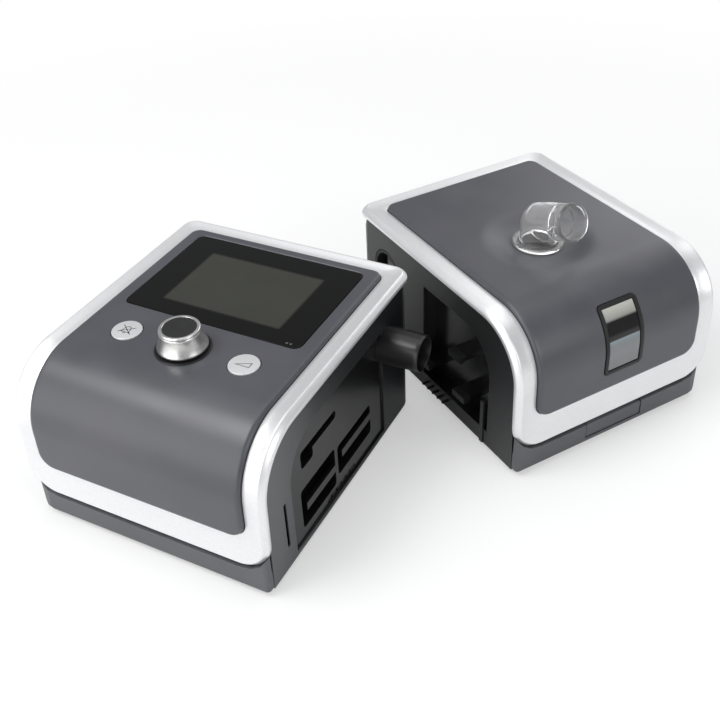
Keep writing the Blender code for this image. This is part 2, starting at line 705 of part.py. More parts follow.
def top_panel():
    panel = raised_panel("top_panel", MAIN_WIDTH, FRAME_SIDE, MAIN)
    deck = MAIN_DECK.location
    seat = rounded(-WINDOW_HALF, WINDOW_HALF, WINDOW_FRONT, WINDOW_BACK, WINDOW_RADIUS)
    view = rounded(-LCD_HALF, LCD_HALF, LCD_FRONT, LCD_BACK, WINDOW_RADIUS / 3, 2)
    holes = [
        prism(seat, GLASS_BOTTOM - SEAT_GAP, PANEL_RISE + OVERRUN),
        prism(view, -PANEL_UNDER - OVERRUN, PANEL_RISE),
        prism(circle(0, KNOB_Y, ENCODER_COLLAR + SEAT_GAP), -PANEL_UNDER - OVERRUN, PANEL_RISE + OVERRUN),
    ]
    for side in (-1, 1):
        hole = circle(side * BUTTON_X, BUTTON_Y, BUTTON_RADIUS + BUTTON_CLEARANCE)
        holes.append(prism(hole, -PANEL_UNDER - OVERRUN, PANEL_RISE + OVERRUN))
    slope = Matrix.Rotation(TOP_SLOPE, 4, "X")
    for hole in holes:
        bmesh.ops.transform(hole, matrix=Matrix.Translation(deck) @ slope, verts=hole.verts)
        cut(panel, hole)
    for x in (-BOARD_HALF + BOSS_INSET, BOARD_HALF - BOSS_INSET):
        for y in (BOARD_FRONT + BOSS_INSET, BOARD_BACK - BOSS_INSET):
            boss = prism(circle(x, y, BOSS_RADIUS, ROUND_STEPS // 2), BOARD_TOP + SEAT_GAP, GLASS_BOTTOM - SEAT_GAP * 2)
            bmesh.ops.transform(boss, matrix=Matrix.Translation(deck) @ slope, verts=boss.verts)
            join(panel, boss)


def display():
    gap = SEAT_GAP
    glass = rounded(-WINDOW_HALF + gap, WINDOW_HALF - gap, WINDOW_FRONT + gap, WINDOW_BACK - gap, WINDOW_RADIUS)
    bm = prism(glass, GLASS_BOTTOM, GLASS_BOTTOM + WINDOW_GLASS)
    add_object("display_window", bm, "display_glass", MAIN_DECK)
    module = rounded(-LCD_HALF - LCD_BEZEL, LCD_HALF + LCD_BEZEL, LCD_FRONT - LCD_BEZEL, LCD_BACK + LCD_BEZEL,
                     LCD_BEZEL / 2, 2)
    top = -PANEL_UNDER - SEAT_GAP
    add_object("lcd_module", prism(module, top - LCD_THICKNESS, top), "black_plastic", MAIN_DECK)
    board = rounded(-BOARD_HALF, BOARD_HALF, BOARD_FRONT, BOARD_BACK, LCD_BEZEL, 2)
    add_object("control_board", prism(board, BOARD_TOP - BOARD_THICKNESS, BOARD_TOP), "circuit_board", MAIN_DECK)


def knob():
    # Everything here turns or moves on the deck's normal through the knob's middle
    ring_in = KNOB_BASE_RADIUS + SEAT_GAP
    ring_out = ring_in + KNOB_RING_WIDTH
    low = PANEL_RISE + SEAT_GAP
    top = low + KNOB_RING_RISE
    profile = [(ring_in, low), (ring_out, low), (ring_out, low + KNOB_RING_RISE / 2), (ring_out - SEAT_GAP, top),
               (ring_in, top)]
    ring = lathe(profile, FINE_STEPS, loop=True)
    add_object("knob_ring", ring, "black_plastic", MAIN_DECK, (0, KNOB_Y, 0))

    base = BOARD_TOP + SEAT_GAP
    half = ENCODER_SIZE / 2
    body = add_object("encoder_body", prism(rounded(-half, half, -half, half, SEAT_GAP, 2), base, base + ENCODER_HEIGHT),
                      "bright_steel", MAIN_DECK, (0, KNOB_Y, 0))
    join(body, prism(circle(0, 0, ENCODER_COLLAR), base + ENCODER_FLOOR, PANEL_RISE))
    bore = base + ENCODER_FLOOR
    cut(body, prism(circle(0, 0, SHAFT_RADIUS + SEAT_GAP), bore, PANEL_RISE + OVERRUN))

    shaft_top = low + KNOB_TRAVEL + SHAFT_REACH
    shaft = [(0, bore + SEAT_GAP + KNOB_TRAVEL), (SHAFT_RADIUS, bore + SEAT_GAP + KNOB_TRAVEL),
             (SHAFT_RADIUS, shaft_top), (0, shaft_top)]
    add_object("encoder_shaft", lathe(shaft, ROUND_STEPS), "bright_steel", MAIN_DECK, (0, KNOB_Y, 0))

    foot = PANEL_RISE + SEAT_GAP + KNOB_TRAVEL
    head = PANEL_RISE + KNOB_HEIGHT
    bore_radius = SHAFT_RADIUS + SEAT_GAP
    waist_radius = KNOB_TOP_RADIUS + (KNOB_BASE_RADIUS - KNOB_TOP_RADIUS) / 4
    profile = [(0, shaft_top + SEAT_GAP), (bore_radius, shaft_top + SEAT_GAP), (bore_radius, foot),
               (KNOB_BASE_RADIUS - KNOB_EDGE / 2, foot), (KNOB_BASE_RADIUS, foot + KNOB_EDGE),
               (waist_radius, foot + (head - foot) / 2), (KNOB_TOP_RADIUS, head - KNOB_EDGE),
               (KNOB_TOP_RADIUS - KNOB_EDGE, head), (KNOB_CAP_RADIUS, head),
               (KNOB_CAP_RADIUS, head - KNOB_CAP_DEPTH), (0, head - KNOB_CAP_DEPTH)]
    add_object("control_knob", lathe(profile, FINE_STEPS), "silver_paint", MAIN_DECK, (0, KNOB_Y, 0))
    low = head - KNOB_CAP_DEPTH + SEAT_GAP
    cap_radius = KNOB_CAP_RADIUS - SEAT_GAP
    cap = [(0, low), (cap_radius, low), (cap_radius, head - SEAT_GAP / 2), (0, head - SEAT_GAP / 2)]
    add_object("knob_cap", lathe(cap, ROUND_STEPS), "black_plastic", MAIN_DECK, (0, KNOB_Y, 0))


def buttons():
    top = PANEL_RISE + BUTTON_RISE
    for name, side in (("mute", -1), ("ramp", 1)):
        place = (side * BUTTON_X, BUTTON_Y, 0)
        lip_top = -PANEL_UNDER - SEAT_GAP
        lip_low = lip_top - BUTTON_LIP
        lip = BUTTON_RADIUS + BUTTON_LIP
        profile = [(0, lip_low), (lip, lip_low), (lip, lip_top), (BUTTON_RADIUS, lip_top),
                   (BUTTON_RADIUS, top - BUTTON_CROWN), (BUTTON_RADIUS - BUTTON_CROWN, top), (0, top)]
        add_object(f"{name}_button", lathe(profile, ROUND_STEPS), "button_plastic", MAIN_DECK, place)
        half = SWITCH_SIZE / 2
        low = BOARD_TOP + SEAT_GAP
        high = lip_low - SWITCH_FREE
        body = prism(rounded(-half, half, -half, half, SEAT_GAP, 2), low, (low + high) / 2)
        switch = add_object(f"{name}_switch", body, "black_plastic", MAIN_DECK, place)
        join(switch, prism(circle(0, 0, SWITCH_PLUNGER, ROUND_STEPS // 2), low + SEAT_GAP, high))


# The main unit's air path

BLOWER_X = 12 * MM
BLOWER_BACK = 32 * MM
BLOWER_Y = PORT_Y - BLOWER_BACK
VOLUTE_SMALL = 31 * MM
VOLUTE_WIDE = 42 * MM
VOLUTE_HEIGHT = 24 * MM
VOLUTE_WALL = 2 * MM
VOLUTE_REACH = 32 * MM
VOLUTE_DUCT = 20 * MM
VOLUTE_STEPS = 26
EYE_RADIUS = 14 * MM
COVER_THICKNESS = 2 * MM
IMPELLER_RADIUS = 27 * MM
IMPELLER_PLATE = 1.5 * MM
IMPELLER_CLEARANCE = 2 * MM
BLADE_HEIGHT = 10 * MM
BLADE_THICKNESS = 1.2 * MM
BLADE_COUNT = 9
BLADE_SWEEP = radians(55)
HUB_RADIUS = 6 * MM
MOTOR_RADIUS = 18 * MM
MOTOR_LENGTH = 22 * MM
MOTOR_EDGE = 2 * MM
MOTOR_SHAFT_RADIUS = 1.5 * MM
SHAFT_HOLE = 4 * MM
COUPLING_WALL = 2 * MM
TUBE_LENGTH = 23 * MM
TUBE_WALL = 1.7 * MM
TUBE_TAPER = 0.5 * MM
TUBE_FLANGE = 4 * MM
TUBE_FLANGE_THICKNESS = 2.2 * MM
TUBE_STUB = 7.8 * MM
TUBE_LIP = 0.6 * MM

VOLUTE_LOW = PORT_Z - VOLUTE_HEIGHT / 2
VOLUTE_HIGH = PORT_Z + VOLUTE_HEIGHT / 2


def volute_outline(inset, reach):
    # A spiral that opens towards the outlet, with the duct leaving along X on its far side
    duct_far = PORT_Y - BLOWER_Y + VOLUTE_DUCT / 2 - inset
    duct_near = PORT_Y - BLOWER_Y - VOLUTE_DUCT / 2 + inset
    small = VOLUTE_SMALL - inset
    tongue = atan2(duct_near, sqrt(max(small ** 2 - duct_near ** 2, 0)))
    turn = tongue + 3 * pi / 2
    points = []
    for i in range(VOLUTE_STEPS + 1):
        share = i / VOLUTE_STEPS
        angle = tongue - turn * share
        radius = small + (duct_far - small) * share
        points.append((BLOWER_X + radius * cos(angle), BLOWER_Y + radius * sin(angle)))
    points.append((BLOWER_X + reach, BLOWER_Y + duct_far))
    points.append((BLOWER_X + reach, BLOWER_Y + duct_near))
    return points


def blower():
    housing = add_object("blower_housing", prism(volute_outline(0, VOLUTE_REACH), VOLUTE_LOW, VOLUTE_HIGH),
                         "black_plastic", MAIN)
    inside = volute_outline(VOLUTE_WALL, VOLUTE_REACH - VOLUTE_WALL)
    cut(housing, prism(inside, VOLUTE_LOW + VOLUTE_WALL, VOLUTE_HIGH + OVERRUN))
    window = circle(PORT_Y, PORT_Z, VOLUTE_DUCT / 2 - VOLUTE_WALL)
    end = BLOWER_X + VOLUTE_REACH
    cut(housing, prism(window, end - VOLUTE_WALL - OVERRUN, end + OVERRUN, "X"))
    cut(housing, prism(circle(BLOWER_X, BLOWER_Y, SHAFT_HOLE), VOLUTE_LOW - OVERRUN, VOLUTE_LOW + VOLUTE_WALL + OVERRUN))

    low = VOLUTE_HIGH + SEAT_GAP
    cover = add_object("blower_cover", prism(volute_outline(0, VOLUTE_REACH), low, low + COVER_THICKNESS),
                       "black_plastic", MAIN)
    cut(cover, prism(circle(BLOWER_X, BLOWER_Y, EYE_RADIUS), low - OVERRUN, low + COVER_THICKNESS + OVERRUN))

    plate_low = VOLUTE_LOW + VOLUTE_WALL + IMPELLER_CLEARANCE
    plate_high = plate_low + IMPELLER_PLATE
    hub_top = plate_high + BLADE_HEIGHT
    bore = MOTOR_SHAFT_RADIUS + SEAT_GAP
    profile = [(bore, plate_low), (IMPELLER_RADIUS, plate_low), (IMPELLER_RADIUS, plate_high),
               (HUB_RADIUS * 2, plate_high), (HUB_RADIUS, hub_top - HUB_RADIUS / 2),
               (HUB_RADIUS / 2, hub_top), (0, hub_top), (0, hub_top - IMPELLER_PLATE), (bore, hub_top - IMPELLER_PLATE)]
    place = (BLOWER_X, BLOWER_Y, 0)
    impeller = add_object("blower_impeller", lathe(profile, loop=True), "pale_plastic", MAIN, place)
    for i in range(BLADE_COUNT):
        join(impeller, blade(2 * pi * i / BLADE_COUNT, plate_low + IMPELLER_PLATE / 2, plate_high + BLADE_HEIGHT))

    motor_top = VOLUTE_LOW - SEAT_GAP
    motor_low = motor_top - MOTOR_LENGTH
    can = [(0, motor_low), (MOTOR_RADIUS - MOTOR_EDGE, motor_low), (MOTOR_RADIUS, motor_low + MOTOR_EDGE),
           (MOTOR_RADIUS, motor_top), (bore, motor_top), (bore, motor_low + MOTOR_EDGE), (0, motor_low + MOTOR_EDGE)]
    add_object("blower_motor", lathe(can), "bright_steel", MAIN, place)
    shaft_low = motor_low + MOTOR_EDGE + SEAT_GAP
    shaft_top = hub_top - IMPELLER_PLATE - SEAT_GAP
    shaft = [(0, shaft_low), (MOTOR_SHAFT_RADIUS, shaft_low), (MOTOR_SHAFT_RADIUS, shaft_top), (0, shaft_top)]
    add_object("motor_shaft", lathe(shaft, ROUND_STEPS // 2), "bright_steel", MAIN, place)


def blade(turn, low, high):
    # One swept blade as a bent strip from the hub to the rim
    steps = 4
    start = HUB_RADIUS + BLADE_THICKNESS
    end = IMPELLER_RADIUS - SEAT_GAP
    near, far = [], []
    for i in range(steps + 1):
        share = i / steps
        radius = start + (end - start) * share
        angle = turn - BLADE_SWEEP * share ** 1.3
        side = BLADE_THICKNESS / 2 / radius
        near.append((radius * cos(angle + side), radius * sin(angle + side)))
        far.append((radius * cos(angle - side), radius * sin(angle - side)))
    return prism(near + list(reversed(far)), low, high)


def outlet():
    start = BLOWER_X + VOLUTE_REACH + SEAT_GAP
    inner = MAIN_WIDTH / 2 - WALL_INSET - WALL
    flange_high = inner - SEAT_GAP
    flange_low = flange_high - TUBE_FLANGE_THICKNESS
    stub = flange_low - TUBE_STUB
    bore = PORT_RADIUS - TUBE_WALL
    tip = MAIN_WIDTH / 2 - WALL_INSET + TUBE_LENGTH
    tip_radius = PORT_RADIUS - TUBE_TAPER
    profile = [(bore, stub), (PORT_RADIUS - TUBE_LIP, stub), (PORT_RADIUS - TUBE_LIP, flange_low),
               (PORT_RADIUS + TUBE_FLANGE, flange_low), (PORT_RADIUS + TUBE_FLANGE, flange_high),
               (PORT_RADIUS, flange_high), (PORT_RADIUS, inner + WALL), (tip_radius, tip - TUBE_LIP),
               (tip_radius - TUBE_LIP, tip), (bore, tip)]
    along_x = Matrix.Translation((0, PORT_Y, PORT_Z)) @ Matrix.Rotation(pi / 2, 4, "Y")
    tube = lathe(profile, FINE_STEPS, loop=True)
    bmesh.ops.transform(tube, matrix=along_x, verts=tube.verts)
    add_object("air_outlet_tube", tube, "dark_plastic", MAIN)
    end = stub - SEAT_GAP
    sleeve = [(bore, start), (PORT_RADIUS + COUPLING_WALL, start), (PORT_RADIUS + COUPLING_WALL, end), (bore, end)]
    coupling = lathe(sleeve, loop=True)
    bmesh.ops.transform(coupling, matrix=along_x, verts=coupling.verts)
    add_object("outlet_coupling", coupling, "soft_rubber", MAIN)


# The main unit's rear: filter, power inlet and the box that quiets the intake

FILTER_SIDE = 33.5 * MM
FILTER_X = FILTER_SIDE - MAIN_WIDTH / 2
FILTER_Z = 45 * MM
FILTER_WIDTH = 40 * MM
FILTER_HEIGHT = 34 * MM
FILTER_THICKNESS = 8 * MM
FILTER_RADIUS = 3 * MM
COVER_DEPTH = 3 * MM
COVER_PROUD = 1.2 * MM
LOUVRE_COUNT = 5
LOUVRE_MARGIN = 4 * MM
LOUVRE_SLOT = 2.6 * MM
INTAKE_DEPTH = 28 * MM
INTAKE_WALL = 2 * MM
INTAKE_HOLE = 9 * MM
INLET_SIDE = 35.5 * MM
INLET_X = MAIN_WIDTH / 2 - INLET_SIDE
INLET_Z = 22 * MM
INLET_HALF = 7.6 * MM
INLET_RADIUS = 4.3 * MM
INLET_DEPTH = 9 * MM
INLET_WALL = 2.2 * MM
INLET_PIN = 1.2 * MM
INLET_PIN_SPACING = 8.6 * MM
INLET_PIN_LENGTH = 7 * MM
BOARD_SIDE_SPACE = 9.5 * MM
BOARD_FRONT_SPACE = 21.35 * MM
BOARD_BACK_SPACE = 61.35 * MM
BOARD_LEFT = BOARD_SIDE_SPACE - MAIN_WIDTH / 2
BOARD_RIGHT = -24 * MM
BOARD_NEAR = BOARD_FRONT_SPACE - UNIT_DEPTH / 2
BOARD_FAR = UNIT_DEPTH / 2 - BOARD_BACK_SPACE
BOARD_Z = 8 * MM
BLOWER_POST_ANGLES = (radians(-90), radians(-15), radians(150))


def rear():
    panel = rear_panel("rear_panel", MAIN_WIDTH, MAIN, chamfered_edge())
    opening = rounded(FILTER_X - FILTER_WIDTH / 2, FILTER_X + FILTER_WIDTH / 2, FILTER_Z - FILTER_HEIGHT / 2,
                      FILTER_Z + FILTER_HEIGHT / 2, FILTER_RADIUS)
    cut(panel, prism(opening, BODY_BACK - WALL - OVERRUN, BODY_BACK + OVERRUN, "Y"))
    cut(panel, prism(stadium(SEAT_GAP + INLET_WALL), BODY_BACK - WALL - OVERRUN, BODY_BACK + OVERRUN, "Y"))

    gap = SEAT_GAP
    lid = rounded(FILTER_X - FILTER_WIDTH / 2 + gap, FILTER_X + FILTER_WIDTH / 2 - gap,
                  FILTER_Z - FILTER_HEIGHT / 2 + gap, FILTER_Z + FILTER_HEIGHT / 2 - gap, FILTER_RADIUS)
    low = BODY_BACK - WALL
    cover = add_object("filter_cover", prism(lid, low, low + COVER_DEPTH + COVER_PROUD, "Y"), "dark_plastic", MAIN)
    for i in range(LOUVRE_COUNT):
        z = FILTER_Z + FILTER_HEIGHT * ((i + 1) / (LOUVRE_COUNT + 1) - 0.5)
        slot = box_outline(FILTER_X - FILTER_WIDTH / 2 + LOUVRE_MARGIN, FILTER_X + FILTER_WIDTH / 2 - LOUVRE_MARGIN,
                           z - LOUVRE_SLOT / 2, z + LOUVRE_SLOT / 2)
        cut(cover, prism(slot, low - OVERRUN, low + COVER_DEPTH + COVER_PROUD + OVERRUN, "Y"))
    back = low - SEAT_GAP
    pad = rounded(FILTER_X - FILTER_WIDTH / 2 + gap, FILTER_X + FILTER_WIDTH / 2 - gap,
                  FILTER_Z - FILTER_HEIGHT / 2 + gap, FILTER_Z + FILTER_HEIGHT / 2 - gap, FILTER_RADIUS)
    add_object("air_filter", prism(pad, back - FILTER_THICKNESS, back, "Y"), "filter_foam", MAIN)

    def box(grow):
        return rounded(FILTER_X - FILTER_WIDTH / 2 - grow, FILTER_X + FILTER_WIDTH / 2 + grow,
                       FILTER_Z - FILTER_HEIGHT / 2 - grow, FILTER_Z + FILTER_HEIGHT / 2 + grow, FILTER_RADIUS)
    intake = add_object("intake_box", prism(box(INTAKE_WALL), back - INTAKE_DEPTH, back, "Y"), "pale_plastic", MAIN)
    cut(intake, prism(box(0), back - INTAKE_DEPTH + INTAKE_WALL, back + OVERRUN, "Y"))
    hole = circle(FILTER_X, FILTER_Z, INTAKE_HOLE)
    cut(intake, prism(hole, back - INTAKE_DEPTH - OVERRUN, back - INTAKE_DEPTH + INTAKE_WALL + OVERRUN, "Y"))

    body = prism(stadium(INLET_WALL), BODY_BACK - WALL - INLET_DEPTH - INLET_WALL, BODY_BACK, "Y")
    socket = add_object("power_inlet", body, "black_plastic", MAIN)
    cut(socket, prism(stadium(0), BODY_BACK - WALL - INLET_DEPTH, BODY_BACK + OVERRUN, "Y"))
    for side in (-1, 1):
        pin = circle(INLET_X + side * INLET_PIN_SPACING / 2, INLET_Z, INLET_PIN, ROUND_STEPS // 3)
        start = BODY_BACK - WALL - INLET_DEPTH - INLET_WALL / 2
        join(socket, prism(pin, start, start + INLET_PIN_LENGTH, "Y"))


def stadium(grow):
    # The inlet's outline: two half circles joined by straight sides
    points = []
    radius = INLET_RADIUS + grow
    reach = INLET_HALF - INLET_RADIUS
    steps = ROUND_STEPS // 2
    for side in (1, -1):
        for i in range(steps + 1):
            a = -side * pi / 2 + side * pi * i / steps if side == 1 else pi / 2 + pi * i / steps
            points.append((INLET_X + side * reach + radius * cos(a), INLET_Z + radius * sin(a)))
    return points


CHOKE_SIZE = 18 * MM
CHOKE_HEIGHT = 22 * MM
CAPACITOR_RADIUS = 9 * MM
CAPACITOR_HEIGHT = 26 * MM
HEAT_SINK = 3 * MM
PART_MARGIN = 5 * MM


def power_board():
    outline = rounded(BOARD_LEFT, BOARD_RIGHT, BOARD_NEAR, BOARD_FAR, SEAT_GAP * 4, 2)
    board = add_object("power_board", prism(outline, BOARD_Z, BOARD_Z + BOARD_THICKNESS), "circuit_board", MAIN)
    low = BOARD_Z + BOARD_THICKNESS / 2
    x = BOARD_LEFT + PART_MARGIN
    y = BOARD_NEAR + PART_MARGIN
    choke = rounded(x, x + CHOKE_SIZE, y, y + CHOKE_SIZE, SEAT_GAP * 4, 2)
    join(board, prism(choke, low, low + CHOKE_HEIGHT))
    can = circle(x + CAPACITOR_RADIUS, y + CHOKE_SIZE + PART_MARGIN + CAPACITOR_RADIUS, CAPACITOR_RADIUS,
                 ROUND_STEPS // 2)
    join(board, prism(can, low, low + CAPACITOR_HEIGHT))
    fin = box_outline(BOARD_RIGHT - PART_MARGIN - HEAT_SINK, BOARD_RIGHT - PART_MARGIN, y, BOARD_FAR - PART_MARGIN)
    join(board, prism(fin, low, low + CHOKE_HEIGHT))


def main_unit():
    base = base_shell("base_shell", MAIN_WIDTH, MAIN, 1, FRONT_POCKET[0] - OVERRUN, REAR_POCKET[1] + OVERRUN)
    for x in (BOARD_LEFT + POST_RADIUS, BOARD_RIGHT - POST_RADIUS):
        for y in (BOARD_NEAR + POST_RADIUS, BOARD_FAR - POST_RADIUS):
            join(base, prism(circle(x, y, POST_RADIUS, ROUND_STEPS // 2), FLOOR / 2, BOARD_Z - SEAT_GAP))
    stand = VOLUTE_SMALL - POST_RADIUS
    for angle in BLOWER_POST_ANGLES:
        x = BLOWER_X + stand * cos(angle)
        y = BLOWER_Y + stand * sin(angle)
        join(base, prism(circle(x, y, POST_RADIUS, ROUND_STEPS // 2), FLOOR / 2, VOLUTE_LOW - SEAT_GAP))
    outer = -MAIN_WIDTH / 2 + WALL_INSET
    add_object("left_side_panel", prism(free_wall_outline(), outer, outer + WALL, "X"), "dark_plastic", MAIN)
    silver_frame("silver_frame", MAIN_WIDTH, FRAME_SIDE, MAIN)
    docking_wall()
    docking_fittings()
    top_panel()
    display()
    knob()
    buttons()
    blower()
    outlet()
    rear()
    power_board()
    foot_strips("main", MAIN_WIDTH, MAIN)


# The humidifier. Its lid carries the frame, the panel, the water window and the elbow.

HINGE_BACK = 6.85 * MM
HINGE_Y = BODY_BACK - HINGE_BACK
HINGE_Z = 81.5 * MM
HINGE_PIN_RADIUS = 1.8 * MM
HINGE_EAR_RADIUS = 3.8 * MM
HINGE_LUG_SIDE = 30.75 * MM
HINGE_LUG_X = HUMIDIFIER_WIDTH / 2 - HINGE_LUG_SIDE
HINGE_LUG_WIDTH = 6 * MM
HINGE_EAR_WIDTH = 4 * MM
HINGE_SIDE_GAP = 0.5 * MM
HINGE_NOTCH_DEPTH = 14 * MM
OUTLET_X = -3.2 * MM
OUTLET_Y = -9.6 * MM
DISH_RADIUS = 35 * MM
DISH_FLAT_RADIUS = 15.5 * MM
DISH_DEPTH = 2.2 * MM
DISH_STEPS = 4
COLLAR_RADIUS = 13.2 * MM
COLLAR_LENGTH = 7 * MM
COLLAR_WALL = 1.6 * MM
COLLAR_LIP = 1.6 * MM
ELBOW_RADIUS = 11.2 * MM
ELBOW_MOUTH_RADIUS = 10.5 * MM
ELBOW_WALL = 1.3 * MM
ELBOW_FLANGE = 15 * MM
ELBOW_FLANGE_THICKNESS = 1.4 * MM
ELBOW_STUB = 6 * MM
ELBOW_RISE = 13.2 * MM
ELBOW_REACH = 28.4 * MM
ELBOW_CREASE = 0.7 * MM
ELBOW_CORNER_SHARE = 1.09
ELBOW_LIFT = radians(23.4)
ELBOW_TURN = radians(-87.2)
ELBOW_BEND_STEPS = 6
ELBOW_RIM = 0.5 * MM
WATER_WINDOW_X = 0.9 * MM
WATER_WINDOW_HALF = 13.6 * MM
WATER_WINDOW_LOW = 45 * MM
WATER_WINDOW_HIGH = 83.2 * MM
WATER_WINDOW_RADIUS = 3 * MM
WATER_WINDOW_STEPS = 7
GASKET_WIDTH = 1.9 * MM
GASKET_RISE = 0.5 * MM
GASKET_UNDER = 1.8 * MM
LINER_THICKNESS = 2 * MM
LINER_MARGIN = 5 * MM
LINER_NOSE_GAP = 21.1 * MM
LINER_END = TOP_LENGTH - LINER_NOSE_GAP

LID = empty("lid_hinge", HUMIDIFIER, (0, HINGE_Y, HINGE_Z))
LID_PLACE = Vector((0, HINGE_Y, HINGE_Z))


def lid_point(y, out):
    # A point of the lid's sloping top, seen from the hinge
    return Vector((0, y, top_z(y, -out))) - LID_PLACE


LID_DECK = empty("lid_deck", LID, lid_point(OUTLET_Y, 0) + Vector((OUTLET_X, 0, 0)), (TOP_SLOPE, 0, 0))


def moved(bm, shift):
    bmesh.ops.translate(bm, vec=shift, verts=bm.verts)
    return bm


def water_window_ring(trim, out):
    start = along_nose(WATER_WINDOW_HIGH)
    end = along_front(WATER_WINDOW_LOW)
    stations = even_stations(start + WATER_WINDOW_RADIUS, end - WATER_WINDOW_RADIUS, WATER_WINDOW_STEPS)
    ring = border(WATER_WINDOW_X, WATER_WINDOW_HALF, start, end, WATER_WINDOW_RADIUS, WATER_WINDOW_RADIUS, out,
                  trim, stations)
    return [p - LID_PLACE for p in ring]


def deck_tool(bm):
    place = lid_point(OUTLET_Y, 0) + Vector((OUTLET_X, 0, 0))
    slope = Matrix.Rotation(TOP_SLOPE, 4, "X")
    bmesh.ops.transform(bm, matrix=Matrix.Translation(place) @ slope, verts=bm.verts)
    return bm


def lid():
    frame = silver_frame("humidifier_frame", HUMIDIFIER_WIDTH, HUMIDIFIER_FRAME_SIDE, HUMIDIFIER, LID_PLACE)
    frame.parent = LID
    frame.location = (0, 0, 0)
    panel = raised_panel("lid_panel", HUMIDIFIER_WIDTH, HUMIDIFIER_FRAME_SIDE, LID, LID_PLACE)
    panel.location = (0, 0, 0)
    dish = [(0, PANEL_RISE - DISH_DEPTH)]
    for i in range(DISH_STEPS + 1):
        share = i / DISH_STEPS
        radius = DISH_FLAT_RADIUS + (DISH_RADIUS - DISH_FLAT_RADIUS) * share
        dish.append((radius, PANEL_RISE - DISH_DEPTH * (1 + cos(pi * share)) / 2))
    dish += [(DISH_RADIUS, PANEL_RISE + OVERRUN), (0, PANEL_RISE + OVERRUN)]
    cut(panel, deck_tool(lathe(dish, FINE_STEPS)))
    cut(panel, deck_tool(prism(circle(0, 0, COLLAR_RADIUS + SEAT_GAP), -PANEL_UNDER - OVERRUN, PANEL_RISE + OVERRUN)))
    cut(panel, skin_rings([water_window_ring(0, -PANEL_UNDER - OVERRUN), water_window_ring(0, PANEL_RISE + OVERRUN)]))

    gasket = [water_window_ring(SEAT_GAP, -GASKET_UNDER), water_window_ring(SEAT_GAP, PANEL_RISE + GASKET_RISE),
              water_window_ring(GASKET_WIDTH, PANEL_RISE + GASKET_RISE), water_window_ring(GASKET_WIDTH, -GASKET_UNDER)]
    add_object("window_gasket", skin_rings(gasket, loop=True), "soft_rubber", LID)
    edge = GASKET_WIDTH + SEAT_GAP
    pane = [water_window_ring(edge, -GASKET_UNDER), water_window_ring(edge, PANEL_RISE)]
    add_object("water_window", skin_rings(pane), "clear_plastic", LID)

    half = HUMIDIFIER_WIDTH / 2 - HUMIDIFIER_FRAME_SIDE - LINER_MARGIN
    start = FRAME_BACK + LINER_MARGIN
    top = -PANEL_UNDER - SEAT_GAP
    stations = even_stations(start + LINER_MARGIN, LINER_END - LINER_MARGIN, 3)
    plate = [[p - LID_PLACE for p in border(0, half, start, LINER_END, LINER_MARGIN, LINER_MARGIN, out, 0, stations)]
             for out in (top - LINER_THICKNESS, top)]
    liner = add_object("lid_liner", skin_rings(plate), "pale_plastic", LID)
    cut(liner, deck_tool(prism(circle(0, 0, COLLAR_RADIUS + SEAT_GAP), top - LINER_THICKNESS - OVERRUN, top + OVERRUN)))
    liner_y = UNIT_DEPTH / 2 - start
    liner_low = top_z(liner_y, PANEL_UNDER + SEAT_GAP + LINER_THICKNESS) - HINGE_Z
    back = liner_y - HINGE_Y
    for side in (-1, 1):
        lug = lug_outline(back, liner_low + LINER_THICKNESS / 2)
        left = side * HINGE_LUG_X - HINGE_LUG_WIDTH / 2
        join(liner, prism(lug, left, left + HINGE_LUG_WIDTH, "X"))
        hole = circle(0, 0, HINGE_PIN_RADIUS + SEAT_GAP, ROUND_STEPS // 2)
        cut(liner, prism(hole, left - OVERRUN, left + HINGE_LUG_WIDTH + OVERRUN, "X"))


def lug_outline(back, top):
    # A hinge lug: a round eye on the pin with an arm that reaches forward under the liner
    points = []
    steps = ROUND_STEPS // 3
    for i in range(steps + 1):
        a = -pi + pi * 1.25 * i / steps
        points.append((HINGE_EAR_RADIUS * cos(a), HINGE_EAR_RADIUS * sin(a)))
    reach = LINER_MARGIN + HINGE_EAR_RADIUS
    points.append((back, top))
    points.append((back - reach, top))
    return points


